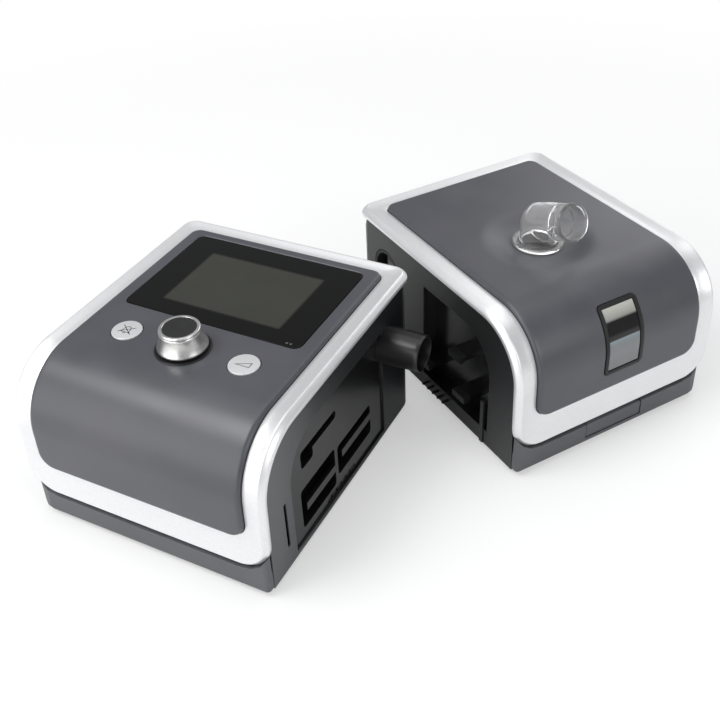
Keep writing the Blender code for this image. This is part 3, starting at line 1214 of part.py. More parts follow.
def elbow():
    collar_top = PANEL_RISE - DISH_DEPTH
    bore = COLLAR_RADIUS - COLLAR_WALL
    profile = [(bore, collar_top - COLLAR_LENGTH), (COLLAR_RADIUS, collar_top - COLLAR_LENGTH),
               (COLLAR_RADIUS, collar_top), (bore, collar_top)]
    add_object("outlet_collar", lathe(profile, loop=True), "dark_plastic", LID_DECK)

    low = collar_top + SEAT_GAP
    up = Vector((0, 0, 1))
    flat = Vector((cos(ELBOW_TURN), sin(ELBOW_TURN), 0))
    across = up.cross(flat)
    out = flat * cos(ELBOW_LIFT) + up * sin(ELBOW_LIFT)
    bend = pi / 2 - ELBOW_LIFT
    knee = up * (low + ELBOW_RISE)
    mouth = knee + out * ELBOW_REACH
    # The bend turns about a line just clear of its inner side, so that side is tight and the outer one square
    pivot_reach = ELBOW_RADIUS + ELBOW_CREASE
    pivot = knee + flat * pivot_reach - up * pivot_reach * tan(bend / 2)

    def ring(centre, wide, tall):
        turns = [2 * pi * i / ROUND_STEPS for i in range(ROUND_STEPS)]
        return [centre + across * wide * cos(t) + tall * sin(t) for t in turns]

    def bend_rings(wall):
        rings = []
        for i in range(ELBOW_BEND_STEPS + 1):
            a = bend * i / ELBOW_BEND_STEPS
            outward = up * sin(a) - flat * cos(a)
            near = ELBOW_CREASE + wall
            square = (pivot_reach + ELBOW_RADIUS - wall) / max(cos(a), cos(bend - a))
            far = min(square, (pivot_reach + ELBOW_RADIUS - wall) * ELBOW_CORNER_SHARE)
            rings.append(ring(pivot + outward * (near + far) / 2, ELBOW_RADIUS - wall, outward * (far - near) / 2))
        return rings

    back = flat * -1
    top = out.cross(across)
    stub = bore - SEAT_GAP
    rise = low + ELBOW_FLANGE_THICKNESS
    rings = [ring(up * (low - ELBOW_STUB), stub, back * stub), ring(up * low, stub, back * stub),
             ring(up * low, ELBOW_FLANGE, back * ELBOW_FLANGE),
             ring(up * rise, ELBOW_FLANGE - ELBOW_RIM, back * (ELBOW_FLANGE - ELBOW_RIM)),
             ring(up * (rise + ELBOW_RIM), ELBOW_RADIUS, back * ELBOW_RADIUS)]
    rings += bend_rings(0)
    tip = ELBOW_MOUTH_RADIUS
    rings += [ring(mouth - out * ELBOW_RIM, tip, top * tip),
              ring(mouth, tip - ELBOW_RIM, top * (tip - ELBOW_RIM)),
              ring(mouth, tip - ELBOW_WALL, top * (tip - ELBOW_WALL))]
    rings += reversed(bend_rings(ELBOW_WALL))
    inner = stub - ELBOW_WALL
    rings.append(ring(up * (low - ELBOW_STUB), inner, back * inner))
    add_object("outlet_elbow", skin_rings(rings, loop=True), "clear_plastic", LID_DECK)


# The humidifier's docking wall: a deep recess with hooks, the air inlet and the plug contacts

DOCK_RECESS_BACK = PLUG_POCKET[1]
DOCK_RECESS_FOOT = 10 * MM
DOCK_RECESS_DEPTH = 9 * MM
HOOK_LENGTH = 12 * MM
HOOK_REACH = 4 * MM
HOOK_THICKNESS = 3 * MM
HOOK_DROP = 4 * MM
RIB_FRONT = 31.85 * MM
RIB_Y = RIB_FRONT - UNIT_DEPTH / 2
RIB_WIDTH = 3 * MM
RIB_HEIGHT = 30 * MM
RIB_PROUD = 0.8 * MM
INLET_SEAL_WIDTH = 2.5 * MM
INLET_SEAL_LENGTH = 4 * MM
CONTACT_LENGTH = 7 * MM
HOOK_SHARES = (-0.457, -0.398, -0.023)
HOOK_HEIGHTS = (24 * MM, 50 * MM, 24 * MM)


def humidifier_docking_wall():
    outer = -HUMIDIFIER_WIDTH / 2 + WALL_INSET
    inner = outer + WALL
    floor = outer + DOCK_RECESS_DEPTH
    wall = add_object("humidifier_docking_wall", prism(side_wall_outline(), outer, inner, "X"), "dark_plastic",
                      HUMIDIFIER)
    pan = recess_outline(RECESS_INSET - POCKET_WALL, DOCK_RECESS_BACK + POCKET_WALL, DOCK_RECESS_FOOT - POCKET_WALL)
    join(wall, prism(pan, inner - WALL / 2, floor + POCKET_WALL, "X"))
    cut(wall, prism(recess_outline(RECESS_INSET, DOCK_RECESS_BACK, DOCK_RECESS_FOOT), outer - OVERRUN, floor, "X"))
    for share, z in zip(HOOK_SHARES, HOOK_HEIGHTS):
        y = share * UNIT_DEPTH / 2
        hook = [(floor + POCKET_WALL / 2, z), (outer - HOOK_REACH, z), (outer - HOOK_REACH, z - HOOK_DROP),
                (outer - HOOK_REACH + HOOK_THICKNESS, z - HOOK_DROP),
                (outer - HOOK_REACH + HOOK_THICKNESS, z - HOOK_THICKNESS),
                (floor + POCKET_WALL / 2, z - HOOK_THICKNESS)]
        join(wall, prism(hook, y, y + HOOK_LENGTH, "Y"))
    seal = PORT_RADIUS + INLET_SEAL_WIDTH
    cut(wall, prism(circle(PORT_Y, PORT_Z, seal + SEAT_GAP), outer - OVERRUN, inner + OVERRUN, "X"))
    join(wall, prism(box_outline(RIB_Y, RIB_Y + RIB_WIDTH, 0, RIB_HEIGHT), outer - RIB_PROUD, inner - WALL / 2, "X"))

    along_x = Matrix.Translation((0, PORT_Y, PORT_Z)) @ Matrix.Rotation(pi / 2, 4, "Y")
    bore = PORT_RADIUS + SEAT_GAP
    lip = seal + INLET_SEAL_WIDTH
    profile = [(bore, outer), (seal, outer), (seal, inner + SEAT_GAP), (lip, inner + SEAT_GAP),
               (lip, inner + INLET_SEAL_LENGTH), (bore, inner + INLET_SEAL_LENGTH)]
    ring = lathe(profile, loop=True)
    bmesh.ops.transform(ring, matrix=along_x, verts=ring.verts)
    add_object("inlet_seal", ring, "soft_rubber", HUMIDIFIER)

    front, back, low, high = PLUG_POCKET
    block = rounded(front + SEAT_GAP, back - SEAT_GAP, low + SEAT_GAP, high - SEAT_GAP, POCKET_RADIUS / 2, 2)
    start = inner + SEAT_GAP
    contacts = add_object("heater_contacts", prism(block, start, start + CONTACT_LENGTH, "X"), "black_plastic", HUMIDIFIER)
    middle = (low + high) / 2
    for i in range(PLUG_PINS):
        y = front + (back - front) * (i + 1) / (PLUG_PINS + 1)
        pin = box_outline(y - PLUG_PIN / 2, y + PLUG_PIN / 2, middle - PLUG_PIN / 2, middle + PLUG_PIN / 2)
        join(contacts, prism(pin, outer - HOOK_REACH, start + CONTACT_LENGTH / 2, "X"))
        slot = box_outline(y - PLUG_PIN / 2 - SEAT_GAP, y + PLUG_PIN / 2 + SEAT_GAP,
                           middle - PLUG_PIN / 2 - SEAT_GAP, middle + PLUG_PIN / 2 + SEAT_GAP)
        cut(wall, prism(slot, outer - OVERRUN, inner + OVERRUN, "X"))


# The water chamber on its heater plate

CHAMBER_DOCK_SPACE = 20.75 * MM
CHAMBER_SIDE_SPACE = 8.75 * MM
CHAMBER_FRONT_SPACE = 21.35 * MM
CHAMBER_BACK_SPACE = 25.35 * MM
CHAMBER_LEFT = CHAMBER_DOCK_SPACE - HUMIDIFIER_WIDTH / 2
CHAMBER_RIGHT = HUMIDIFIER_WIDTH / 2 - CHAMBER_SIDE_SPACE
CHAMBER_FRONT = CHAMBER_FRONT_SPACE - UNIT_DEPTH / 2
CHAMBER_BACK = UNIT_DEPTH / 2 - CHAMBER_BACK_SPACE
CHAMBER_RADIUS = 14 * MM
CHAMBER_FLOOR_Z = 16 * MM
CHAMBER_SPLIT_Z = 50 * MM
CHAMBER_TOP_Z = 72 * MM
CHAMBER_WALL = 2 * MM
CHAMBER_SEAL = 1.4 * MM
CHAMBER_NECK = 12 * MM
DUCT_SHIFT = 18 * MM
CHAMBER_PORT_Y = PORT_Y - DUCT_SHIFT
HEATER_X = (CHAMBER_LEFT + CHAMBER_RIGHT) / 2
HEATER_Y = (CHAMBER_FRONT + CHAMBER_BACK) / 2
HEATER_RADIUS = 42 * MM
HEATER_THICKNESS = 3 * MM
BASE_PLATE_THICKNESS = 1.2 * MM
BASE_PLATE_LIP = 3 * MM
INSULATOR_WIDTH = 8 * MM
DUCT_WALL = 1.6 * MM
DUCT_RADIUS = 10.5 * MM
BUTTON_HALF = 20.7 * MM
BUTTON_LOW = 3.5 * MM
BUTTON_DEPTH = 4 * MM
BUTTON_SIDE_GAP = 0.4 * MM


def chamber_outline(inset):
    return rounded(CHAMBER_LEFT + inset, CHAMBER_RIGHT - inset, CHAMBER_FRONT + inset, CHAMBER_BACK - inset,
                   CHAMBER_RADIUS - inset)


def heater():
    gap = SEAT_GAP
    plate_top = CHAMBER_FLOOR_Z - gap
    plate_low = plate_top - BASE_PLATE_THICKNESS
    place = (HEATER_X, HEATER_Y, 0)
    disc = [(0, plate_low), (HEATER_RADIUS - gap, plate_low), (HEATER_RADIUS - gap, plate_top), (0, plate_top)]
    add_object("chamber_base_plate", lathe(disc, FINE_STEPS), "bare_aluminium", HUMIDIFIER, place)
    top = plate_low - gap
    low = top - HEATER_THICKNESS
    disc = [(0, low), (HEATER_RADIUS, low), (HEATER_RADIUS, top), (0, top)]
    add_object("heater_plate", lathe(disc, FINE_STEPS), "bare_aluminium", HUMIDIFIER, place)
    high = low - gap
    inner = HEATER_RADIUS - INSULATOR_WIDTH
    ring = [(inner, FLOOR + gap), (HEATER_RADIUS, FLOOR + gap), (HEATER_RADIUS, high), (inner, high)]
    add_object("heater_insulator", lathe(ring, FINE_STEPS, loop=True), "pale_plastic", HUMIDIFIER, place)


def water_chamber():
    tub = add_object("chamber_tub", prism(chamber_outline(0), CHAMBER_FLOOR_Z, CHAMBER_SPLIT_Z), "clear_plastic",
                     HUMIDIFIER)
    floor = CHAMBER_FLOOR_Z + CHAMBER_WALL
    cut(tub, prism(chamber_outline(CHAMBER_WALL), floor, CHAMBER_SPLIT_Z + OVERRUN))
    hole = circle(HEATER_X, HEATER_Y, HEATER_RADIUS - BASE_PLATE_LIP, FINE_STEPS)
    cut(tub, prism(hole, CHAMBER_FLOOR_Z - OVERRUN, floor + OVERRUN))

    seal_low = CHAMBER_SPLIT_Z + SEAT_GAP
    seal_high = seal_low + CHAMBER_SEAL
    seal = add_object("chamber_seal", prism(chamber_outline(0), seal_low, seal_high), "soft_rubber", HUMIDIFIER)
    cut(seal, prism(chamber_outline(CHAMBER_WALL), seal_low - OVERRUN, seal_high + OVERRUN))

    low = seal_high + SEAT_GAP
    cap = add_object("chamber_lid", prism(chamber_outline(0), low, CHAMBER_TOP_Z), "clear_plastic", HUMIDIFIER)
    cut(cap, prism(chamber_outline(CHAMBER_WALL), low - OVERRUN, CHAMBER_TOP_Z - CHAMBER_WALL))
    neck_top = top_z(OUTLET_Y, DISH_DEPTH - PANEL_RISE + COLLAR_LENGTH) - SEAM_GAP
    join(cap, prism(circle(OUTLET_X, OUTLET_Y, CHAMBER_NECK), CHAMBER_TOP_Z - CHAMBER_WALL / 2, neck_top))
    neck = circle(OUTLET_X, OUTLET_Y, CHAMBER_NECK - CHAMBER_WALL)
    cut(cap, prism(neck, CHAMBER_TOP_Z - CHAMBER_WALL - OVERRUN, neck_top + OVERRUN))
    port = circle(CHAMBER_PORT_Y, PORT_Z, DUCT_RADIUS - DUCT_WALL)
    cut(cap, prism(port, CHAMBER_LEFT - OVERRUN, CHAMBER_LEFT + CHAMBER_WALL + OVERRUN, "X"))

    inner = -HUMIDIFIER_WIDTH / 2 + WALL_INSET + WALL
    start = inner + INLET_SEAL_LENGTH + SEAT_GAP
    end = CHAMBER_LEFT - SEAT_GAP
    ahead = Vector((1, 0, 0))
    first = Vector((start, PORT_Y, PORT_Z))
    last = Vector((end, CHAMBER_PORT_Y, PORT_Z))
    way = (last - first).normalized()
    stops = [(first, ahead), (first.lerp(last, 0.5), (ahead + way).normalized()), (last, ahead)]
    bore = DUCT_RADIUS - DUCT_WALL
    path = [(point, d, DUCT_RADIUS) for point, d in stops] + [(point, d, bore) for point, d in reversed(stops)]
    add_object("inlet_duct", sweep(path), "pale_plastic", HUMIDIFIER)


def knuckle_edge():
    # The top edge follows a circle about the hinge, so that the lid's skirt passes over it as it opens
    radius = BODY_BACK - HINGE_Y
    last = acos(1 - REAR_CHAMFER / radius)
    turns = [last * i / CORNER_STEPS for i in range(CORNER_STEPS + 1)]
    return [(radius - radius * cos(a), HINGE_Z + radius * sin(a)) for a in turns]


def humidifier_rear():
    panel = rear_panel("humidifier_rear_panel", HUMIDIFIER_WIDTH, HUMIDIFIER, knuckle_edge())
    top = HINGE_Z + BODY_BACK - HINGE_Y
    inside = BODY_BACK - WALL / 2
    for side in (-1, 1):
        middle = side * HINGE_LUG_X
        reach = HINGE_LUG_WIDTH / 2 + HINGE_SIDE_GAP
        notch = box_outline(middle - reach, middle + reach, top - HINGE_NOTCH_DEPTH, top + OVERRUN)
        cut(panel, prism(notch, BODY_BACK - WALL - OVERRUN, BODY_BACK + OVERRUN, "Y"))
        for end in (-1, 1):
            near = middle + end * reach
            left = min(near, near + end * HINGE_EAR_WIDTH)
            join(panel, prism(ear_outline(inside), left, left + HINGE_EAR_WIDTH, "X"))
            hole = circle(HINGE_Y, HINGE_Z, HINGE_PIN_RADIUS + SEAT_GAP, ROUND_STEPS // 2)
            cut(panel, prism(hole, left - OVERRUN, left + HINGE_EAR_WIDTH + OVERRUN, "X"))
    half = HINGE_LUG_X + HINGE_LUG_WIDTH / 2 + HINGE_SIDE_GAP + HINGE_EAR_WIDTH
    pin = prism(circle(HINGE_Y, HINGE_Z, HINGE_PIN_RADIUS, ROUND_STEPS // 2), -half, half, "X")
    add_object("lid_hinge_pin", pin, "bright_steel", HUMIDIFIER)


def ear_outline(inside):
    points = [(inside, HINGE_Z + HINGE_EAR_RADIUS), ]
    steps = ROUND_STEPS // 3
    for i in range(steps + 1):
        a = pi / 2 + pi * i / steps
        points.append((HINGE_Y + HINGE_EAR_RADIUS * cos(a), HINGE_Z + HINGE_EAR_RADIUS * sin(a)))
    points.append((inside, HINGE_Z - HINGE_EAR_RADIUS))
    return points


def release_button(base):
    top = FRAME_FOOT_Z - SEAM_GAP
    high = top + OVERRUN
    opening = box_outline(-BUTTON_HALF, BUTTON_HALF, BUTTON_LOW, high)
    cut(base, prism(opening, front_y(0) - OVERRUN, front_y(0, WALL) + OVERRUN, "Y"))
    gap = BUTTON_SIDE_GAP
    face = rounded(-BUTTON_HALF + gap, BUTTON_HALF - gap, BUTTON_LOW + gap, top, FOOT_HEIGHT / 2, 3)
    place = (0, front_y(0), 0)
    add_object("lid_release_button", prism(face, front_y(top) - front_y(0), BUTTON_DEPTH, "Y"), "dark_plastic",
               HUMIDIFIER, place)


def humidifier():
    front = front_y(DOCK_RECESS_FOOT, RECESS_INSET / 2)
    base = base_shell("humidifier_base", HUMIDIFIER_WIDTH, HUMIDIFIER, -1, front, DOCK_RECESS_BACK + 2 * POCKET_WALL)
    release_button(base)
    outer = HUMIDIFIER_WIDTH / 2 - WALL_INSET
    add_object("humidifier_side_panel", prism(free_wall_outline(), outer - WALL, outer, "X"), "dark_plastic",
               HUMIDIFIER)
    humidifier_docking_wall()
    humidifier_rear()
    heater()
    water_chamber()
    lid()
    elbow()
    foot_strips("humidifier", HUMIDIFIER_WIDTH, HUMIDIFIER)


main_unit()
humidifier()
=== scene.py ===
import json
import math

import bmesh
import bpy
from mathutils import Matrix, Vector


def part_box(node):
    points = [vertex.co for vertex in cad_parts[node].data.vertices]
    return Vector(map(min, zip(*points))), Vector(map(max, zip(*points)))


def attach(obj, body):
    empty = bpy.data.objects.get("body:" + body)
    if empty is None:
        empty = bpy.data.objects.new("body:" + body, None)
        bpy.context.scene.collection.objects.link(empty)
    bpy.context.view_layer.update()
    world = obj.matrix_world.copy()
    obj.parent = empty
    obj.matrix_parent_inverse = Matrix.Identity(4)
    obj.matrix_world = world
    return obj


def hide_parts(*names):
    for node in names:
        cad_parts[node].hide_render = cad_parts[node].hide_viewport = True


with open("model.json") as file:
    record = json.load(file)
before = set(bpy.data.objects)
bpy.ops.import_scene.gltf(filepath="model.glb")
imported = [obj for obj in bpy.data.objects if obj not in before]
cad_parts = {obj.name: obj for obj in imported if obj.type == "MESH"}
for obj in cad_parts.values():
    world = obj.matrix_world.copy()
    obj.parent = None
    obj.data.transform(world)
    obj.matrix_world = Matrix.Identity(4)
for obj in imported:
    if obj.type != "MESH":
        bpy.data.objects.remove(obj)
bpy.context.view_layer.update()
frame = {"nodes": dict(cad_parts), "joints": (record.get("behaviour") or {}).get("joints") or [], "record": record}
nodes = frame["nodes"]
mm = 0.001
print("frame loaded:", len(nodes), "nodes")


# Helpers for colours, node trees and meshes
def linear(hexColour):
    values = [int(hexColour[i:i + 2], 16) / 255 for i in (1, 3, 5)]
    return [v / 12.92 if v <= 0.04045 else ((v + 0.055) / 1.055) ** 2.4 for v in values] + [1]


def addNode(tree, kind, settings=None, links=None):
    node = tree.nodes.new(kind)
    for name, value in (settings or {}).items():
        if isinstance(name, int) or name in node.inputs:
            node.inputs[name].default_value = value
        else:
            setattr(node, name, value)
    for name, source in (links or {}).items():
        tree.links.new(source, node.inputs[name])
    return node


def newMaterial(name, colour, **settings):
    # A Principled surface and its tree; settings go on the shader's own sockets
    material = bpy.data.materials.new(name)
    material.use_nodes = True
    tree = material.node_tree
    tree.nodes.clear()
    names = {"metallic": "Metallic", "roughness": "Roughness", "ior": "IOR", "coat": "Coat Weight",
             "coatRoughness": "Coat Roughness", "transmission": "Transmission Weight",
             "specular": "Specular IOR Level", "sheen": "Sheen Weight"}
    values = {names[key]: value for key, value in settings.items()}
    shader = addNode(tree, "ShaderNodeBsdfPrincipled", {"Base Color": linear(colour), **values})
    addNode(tree, "ShaderNodeOutputMaterial", links={"Surface": shader.outputs[0]})
    return material, tree, shader


def objectPoint(tree):
    return addNode(tree, "ShaderNodeTexCoord").outputs["Object"]


def mottle(tree, shader, point, size, low, high):
    # Slow change of colour between two tones, size across
    noise = addNode(tree, "ShaderNodeTexNoise", {"Scale": 1 / size, "Detail": 3}, {"Vector": point})
    ramp = addNode(tree, "ShaderNodeValToRGB", links={"Fac": noise.outputs["Fac"]})
    ramp.color_ramp.elements[0].position = 0.35
    ramp.color_ramp.elements[1].position = 0.65
    ramp.color_ramp.elements[0].color = linear(low)
    ramp.color_ramp.elements[1].color = linear(high)
    tree.links.new(ramp.outputs["Color"], shader.inputs["Base Color"])


def wearRoughness(tree, shader, point, size, low, high):
    # Handling marks: the gloss drifts a little over the surface
    noise = addNode(tree, "ShaderNodeTexNoise", {"Scale": 1 / size, "Detail": 5}, {"Vector": point})
    limits = {"From Min": 0.3, "From Max": 0.7, "To Min": low, "To Max": high}
    spread = addNode(tree, "ShaderNodeMapRange", limits, {"Value": noise.outputs["Fac"]})
    tree.links.new(spread.outputs["Result"], shader.inputs["Roughness"])


def grain(tree, shader, point, size, depth):
    # Fine surface texture of one size, raised by depth
    noise = addNode(tree, "ShaderNodeTexNoise", {"Scale": 1 / size, "Detail": 2}, {"Vector": point})
    bump = addNode(tree, "ShaderNodeBump", {"Distance": depth, "Strength": 1},
                   {"Height": noise.outputs["Fac"]})
    tree.links.new(bump.outputs["Normal"], shader.inputs["Normal"])


# Materials, each from what the real part is made of
def surface(name, colour, tones=None, texture=None, gloss=None, **settings):
    # tones: patch size and two colours; texture: size and depth; gloss: patch size and two roughnesses
    material, tree, shader = newMaterial(name, colour, **settings)
    point = objectPoint(tree)
    if tones:
        mottle(tree, shader, point, *tones)
    if texture:
        grain(tree, shader, point, *texture)
    if gloss:
        wearRoughness(tree, shader, point, *gloss)
    return material


def moduleAxes(tree, place):
    # Coordinates of one module, undoing its place in the frame
    settings = {"vector_type": "TEXTURE", "Location": place.to_translation(), "Rotation": place.to_euler()}
    mapping = addNode(tree, "ShaderNodeMapping", settings, {"Vector": objectPoint(tree)})
    return addNode(tree, "ShaderNodeSeparateXYZ", links={"Vector": mapping.outputs[0]})


def dockingAbs(name, place, outer, front, rear):
    # Docking wall: satin margin with painted light, its colour paler at the lit front and painted darker in shade
    # towards the back, and glossy near-black in the recess and its pockets
    look = {"deep": "#131314", "step": 0.7 * mm, "soft": 0.15 * mm, "grain": 0.5 * mm,
            "grainDepth": 0.008 * mm, "pale": -70 * mm, "dark": -25 * mm, "drift": 20 * mm,
            "leastShare": 0.95, "deepGloss": 0.2, "marginGloss": 0.4}
    material, tree, shader = newMaterial(name, front, roughness=0.36, ior=1.53)
    axes = moduleAxes(tree, place)
    across = addNode(tree, "ShaderNodeMath", {"operation": "ABSOLUTE"}, {0: axes.outputs["X"]})
    edge = outer - look["step"]
    limits = {"From Min": edge - look["soft"], "From Max": edge + look["soft"]}
    share = addNode(tree, "ShaderNodeMapRange", limits, {"Value": across.outputs[0]})
    drift = addNode(tree, "ShaderNodeTexNoise", {"Scale": 1 / look["drift"]}, {"Vector": objectPoint(tree)})
    limits = {"From Min": 0.3, "From Max": 0.7, "To Min": look["leastShare"], "To Max": 1.0}
    tone = addNode(tree, "ShaderNodeMapRange", limits, {"Value": drift.outputs["Fac"]})
    mixing = addNode(tree, "ShaderNodeMath", {"operation": "MULTIPLY"},
                     {0: share.outputs[0], 1: tone.outputs[0]})
    # Painted light and shade: the margin's colour runs from the lit front colour to the shaded rear colour along
    # the module
    back = addNode(tree, "ShaderNodeMapRange", {"From Min": look["pale"], "From Max": look["dark"]},
                   {"Value": axes.outputs["Y"]})
    margin = addNode(tree, "ShaderNodeMix", {"data_type": "RGBA", 6: linear(front), 7: linear(rear)},
                     {0: back.outputs[0]})
    colour = addNode(tree, "ShaderNodeMix", {"data_type": "RGBA", 6: linear(look["deep"])},
                     {0: mixing.outputs[0], 7: margin.outputs[2]})
    gloss = addNode(tree, "ShaderNodeMapRange",
                    {"To Min": look["deepGloss"], "To Max": look["marginGloss"]}, {"Value": share.outputs[0]})
    tree.links.new(colour.outputs[2], shader.inputs["Base Color"])
    tree.links.new(gloss.outputs[0], shader.inputs["Roughness"])
    grain(tree, shader, objectPoint(tree), look["grain"], look["grainDepth"])
    return material


def frostedClear():
    # Clear styrene of the elbow: thin walls, light and a little milky at its edges
    return surface("frostedClear", "#fafafa", None, (3 * mm, 0.015 * mm), (6 * mm, 0.05, 0.1), roughness=0.07,
                   ior=1.34, transmission=0.94)


def levelWindow(place):
    # Glossy window painted with bands by height for the view into the tub, its light and shade included: pale at
    # its top, then black, then the grey of the tub
    look = {"low": 45 * mm, "high": 85 * mm, "bottom": "#6c6c6f", "top": "#c6c6bf",
            "bands": ((0.3, "#77777a"), (0.46, "#74797c"), (0.52, "#7d8b90"), (0.535, "#0b0b0c"),
                      (0.77, "#0b0b0c"), (0.8, "#8f8f89"))}
    material, tree, shader = newMaterial("levelWindow", look["bottom"], roughness=0.1, ior=1.5)
    axes = moduleAxes(tree, place)
    height = addNode(tree, "ShaderNodeMapRange", {"From Min": look["low"], "From Max": look["high"]},
                     {"Value": axes.outputs["Z"]})
    ramp = addNode(tree, "ShaderNodeValToRGB", links={"Fac": height.outputs[0]})
    stops = ramp.color_ramp.elements
    for position, colour in look["bands"]:
        stops.new(position).color = linear(colour)
    stops[0].color = linear(look["bottom"])
    stops[len(stops) - 1].color = linear(look["top"])
    tree.links.new(ramp.outputs["Color"], shader.inputs["Base Color"])
    wearRoughness(tree, shader, objectPoint(tree), 8 * mm, 0.08, 0.14)
    return material


def filterFoam():
    # Open-cell polyurethane foam of the air filter
    cell = {"size": 0.9 * mm, "depth": 0.4 * mm, "strength": 0.9}
    material, tree, shader = newMaterial("filterFoam", "#55585c", roughness=0.9)
    cells = addNode(tree, "ShaderNodeTexVoronoi", {"Scale": 1 / cell["size"]}, {"Vector": objectPoint(tree)})
    bump = addNode(tree, "ShaderNodeBump", {"Distance": cell["depth"], "Strength": cell["strength"]},
                   {"Height": cells.outputs["Distance"]})
    tree.links.new(bump.outputs["Normal"], shader.inputs["Normal"])
    return material


finishes = {
    # Silver lacquer over moulded ABS: fine aluminium flake under a clear coat, bright and softly mirroring
    "silver_paint": surface("silverLacquer", "#e4e4e5", (0.35 * mm, "#dcdcdd", "#eaeaeb"),
                            (0.35 * mm, 0.004 * mm), (40 * mm, 0.33, 0.38), metallic=0.62, roughness=0.35,
                            coat=0.3, coatRoughness=0.2),
    # Moulded ABS with a fine spark-eroded texture: slate grey, satin, with broad soft highlights
    "slate_plastic": surface("slateAbs", "#46474c", (30 * mm, "#44454a", "#49494f"), (0.5 * mm, 0.01 * mm),
                             (30 * mm, 0.33, 0.4), roughness=0.36, ior=1.53),
    # The lower shells' ABS: charcoal, a little coarser and duller than the top panels
    "dark_plastic": surface("charcoalAbs", "#4c4d50", (25 * mm, "#494a4d", "#505154"), (0.6 * mm, 0.014 * mm),
                            (25 * mm, 0.38, 0.47), roughness=0.42, ior=1.53),
    # Near-black ABS of the air tube, the knob's seat and small inner pieces: satin, it catches edges of light
    "black_plastic": surface("blackAbs", "#111112", (22 * mm, "#0f0f10", "#151517"), (0.5 * mm, 0.01 * mm),
                             (22 * mm, 0.29, 0.38), roughness=0.33, ior=1.5),
    # Plain black acrylic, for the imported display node, whose dressed piece has its own below
    "display_glass": surface("blackAcrylic", "#161615", gloss=(18 * mm, 0.07, 0.12), roughness=0.09,
                             ior=1.49),
    # Injection-moulded polycarbonate: water clear with a faint grey cast
    "clear_plastic": surface("clearPolycarbonate", "#f2f3f3", None, (3 * mm, 0.02 * mm), (6 * mm, 0.03, 0.08),
                             roughness=0.05, ior=1.58, transmission=1.0),
    # Light silver lacquer on the round buttons: paler and duller than the frames
    "button_plastic": surface("buttonLacquer", "#cbcbcc", (0.35 * mm, "#c2c2c4", "#d2d2d3"),
                              (0.4 * mm, 0.004 * mm), metallic=0.35, roughness=0.42),
    # Black silicone: matt, with a light bloom
    "soft_rubber": surface("siliconeRubber", "#111112", (8 * mm, "#0f0f10", "#161617"), (0.8 * mm, 0.01 * mm),
                           roughness=0.55, ior=1.41, sheen=0.05),
    # Glass-epoxy laminate under green solder mask
    "circuit_board": surface("circuitLaminate", "#1d4a33", (4 * mm, "#1a4530", "#235539"),
                             (0.6 * mm, 0.01 * mm), roughness=0.35, ior=1.55),
    # Cast and turned aluminium, unpainted
    "bare_aluminium": surface("bareAluminium", "#b9babc", (5 * mm, "#b2b3b5", "#c0c1c3"),
                              (0.4 * mm, 0.006 * mm), metallic=1.0, roughness=0.34),
    # Satin turned steel of the knob, the pins and the screws
    "bright_steel": surface("turnedSteel", "#d2d1cf", (3 * mm, "#cccbc9", "#d8d7d5"), None,
                            (5 * mm, 0.27, 0.33), metallic=1.0, roughness=0.3),
    # Undyed nylon of the inner mouldings
    "pale_plastic": surface("paleNylon", "#cfcdc6", (12 * mm, "#c9c7c0", "#d4d2cb"), (0.6 * mm, 0.01 * mm),
                            roughness=0.48, ior=1.53),
    "filter_foam": filterFoam(),
}
slotOf = {}
for node in nodes.values():
    for place in node.material_slots:
        slotOf[node.name] = place.material.name
        place.material = finishes[place.material.name]
print("materials set on the packed nodes")


# Casing: the side outline that both modules share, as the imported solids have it
casing = {"depth": 170.7 * mm, "height": 93 * mm, "nose": 36 * mm, "slope": math.radians(0.6),
          "draft": math.radians(2), "footHeight": 2.5 * mm, "noseSteps": 36, "cornerSteps": 10}
frameShape = {"back": 11 * mm, "footZ": 13.5 * mm, "skirt": 4.6 * mm, "wall": 2.2 * mm, "drop": 1.4 * mm,
              "backRadius": 9 * mm, "frontRadius": 18 * mm}
panelShape = {"footZ": 34 * mm, "rise": 1.1 * mm, "under": 2.5 * mm, "round": 2.4 * mm, "backRadius": 6 * mm,
              "frontRadius": 9 * mm, "gap": 0.3 * mm}
halfDepth = casing["depth"] / 2
topAngle = math.pi / 2 + casing["slope"]
frontAngle = math.pi - casing["draft"]


def noseCentre():
    up = (-math.sin(casing["slope"]), math.cos(casing["slope"]))
    out = (-math.cos(casing["draft"]), math.sin(casing["draft"]))
    a = up[0] * halfDepth + up[1] * casing["height"] - casing["nose"]
    b = -out[0] * halfDepth - casing["nose"]
    d = up[0] * out[1] - up[1] * out[0]
    return (a * out[1] - b * up[1]) / d, (up[0] * b - out[0] * a) / d


noseY, noseZ = noseCentre()
topLength = (halfDepth - noseY - casing["nose"] * math.cos(topAngle)) / math.cos(casing["slope"])
noseLength = casing["nose"] * (frontAngle - topAngle)


def topHeight(y):
    return casing["height"] + math.tan(casing["slope"]) * (y - halfDepth)


def skinPoint(x, along, out):
    # Across, along from the back edge over the nose, and out from the surface
    if along <= topLength:
        angle = topAngle
        y = halfDepth - along * math.cos(casing["slope"])
        z = casing["height"] - along * math.sin(casing["slope"])
    else:
        angle = min(topAngle + (along - topLength) / casing["nose"], frontAngle)
        rest = max(along - topLength - noseLength, 0)
        y = noseY + casing["nose"] * math.cos(angle) - rest * math.sin(casing["draft"])
        z = noseZ + casing["nose"] * math.sin(angle) - rest * math.cos(casing["draft"])
    return Vector((x, y + out * math.cos(angle), z + out * math.sin(angle)))


def alongFront(z):
    tangent = noseZ + casing["nose"] * math.sin(frontAngle)
    return topLength + noseLength + (tangent - z) / math.cos(casing["draft"])


def alongNose(z):
    return topLength + casing["nose"] * (math.pi - topAngle - math.asin((z - noseZ) / casing["nose"]))


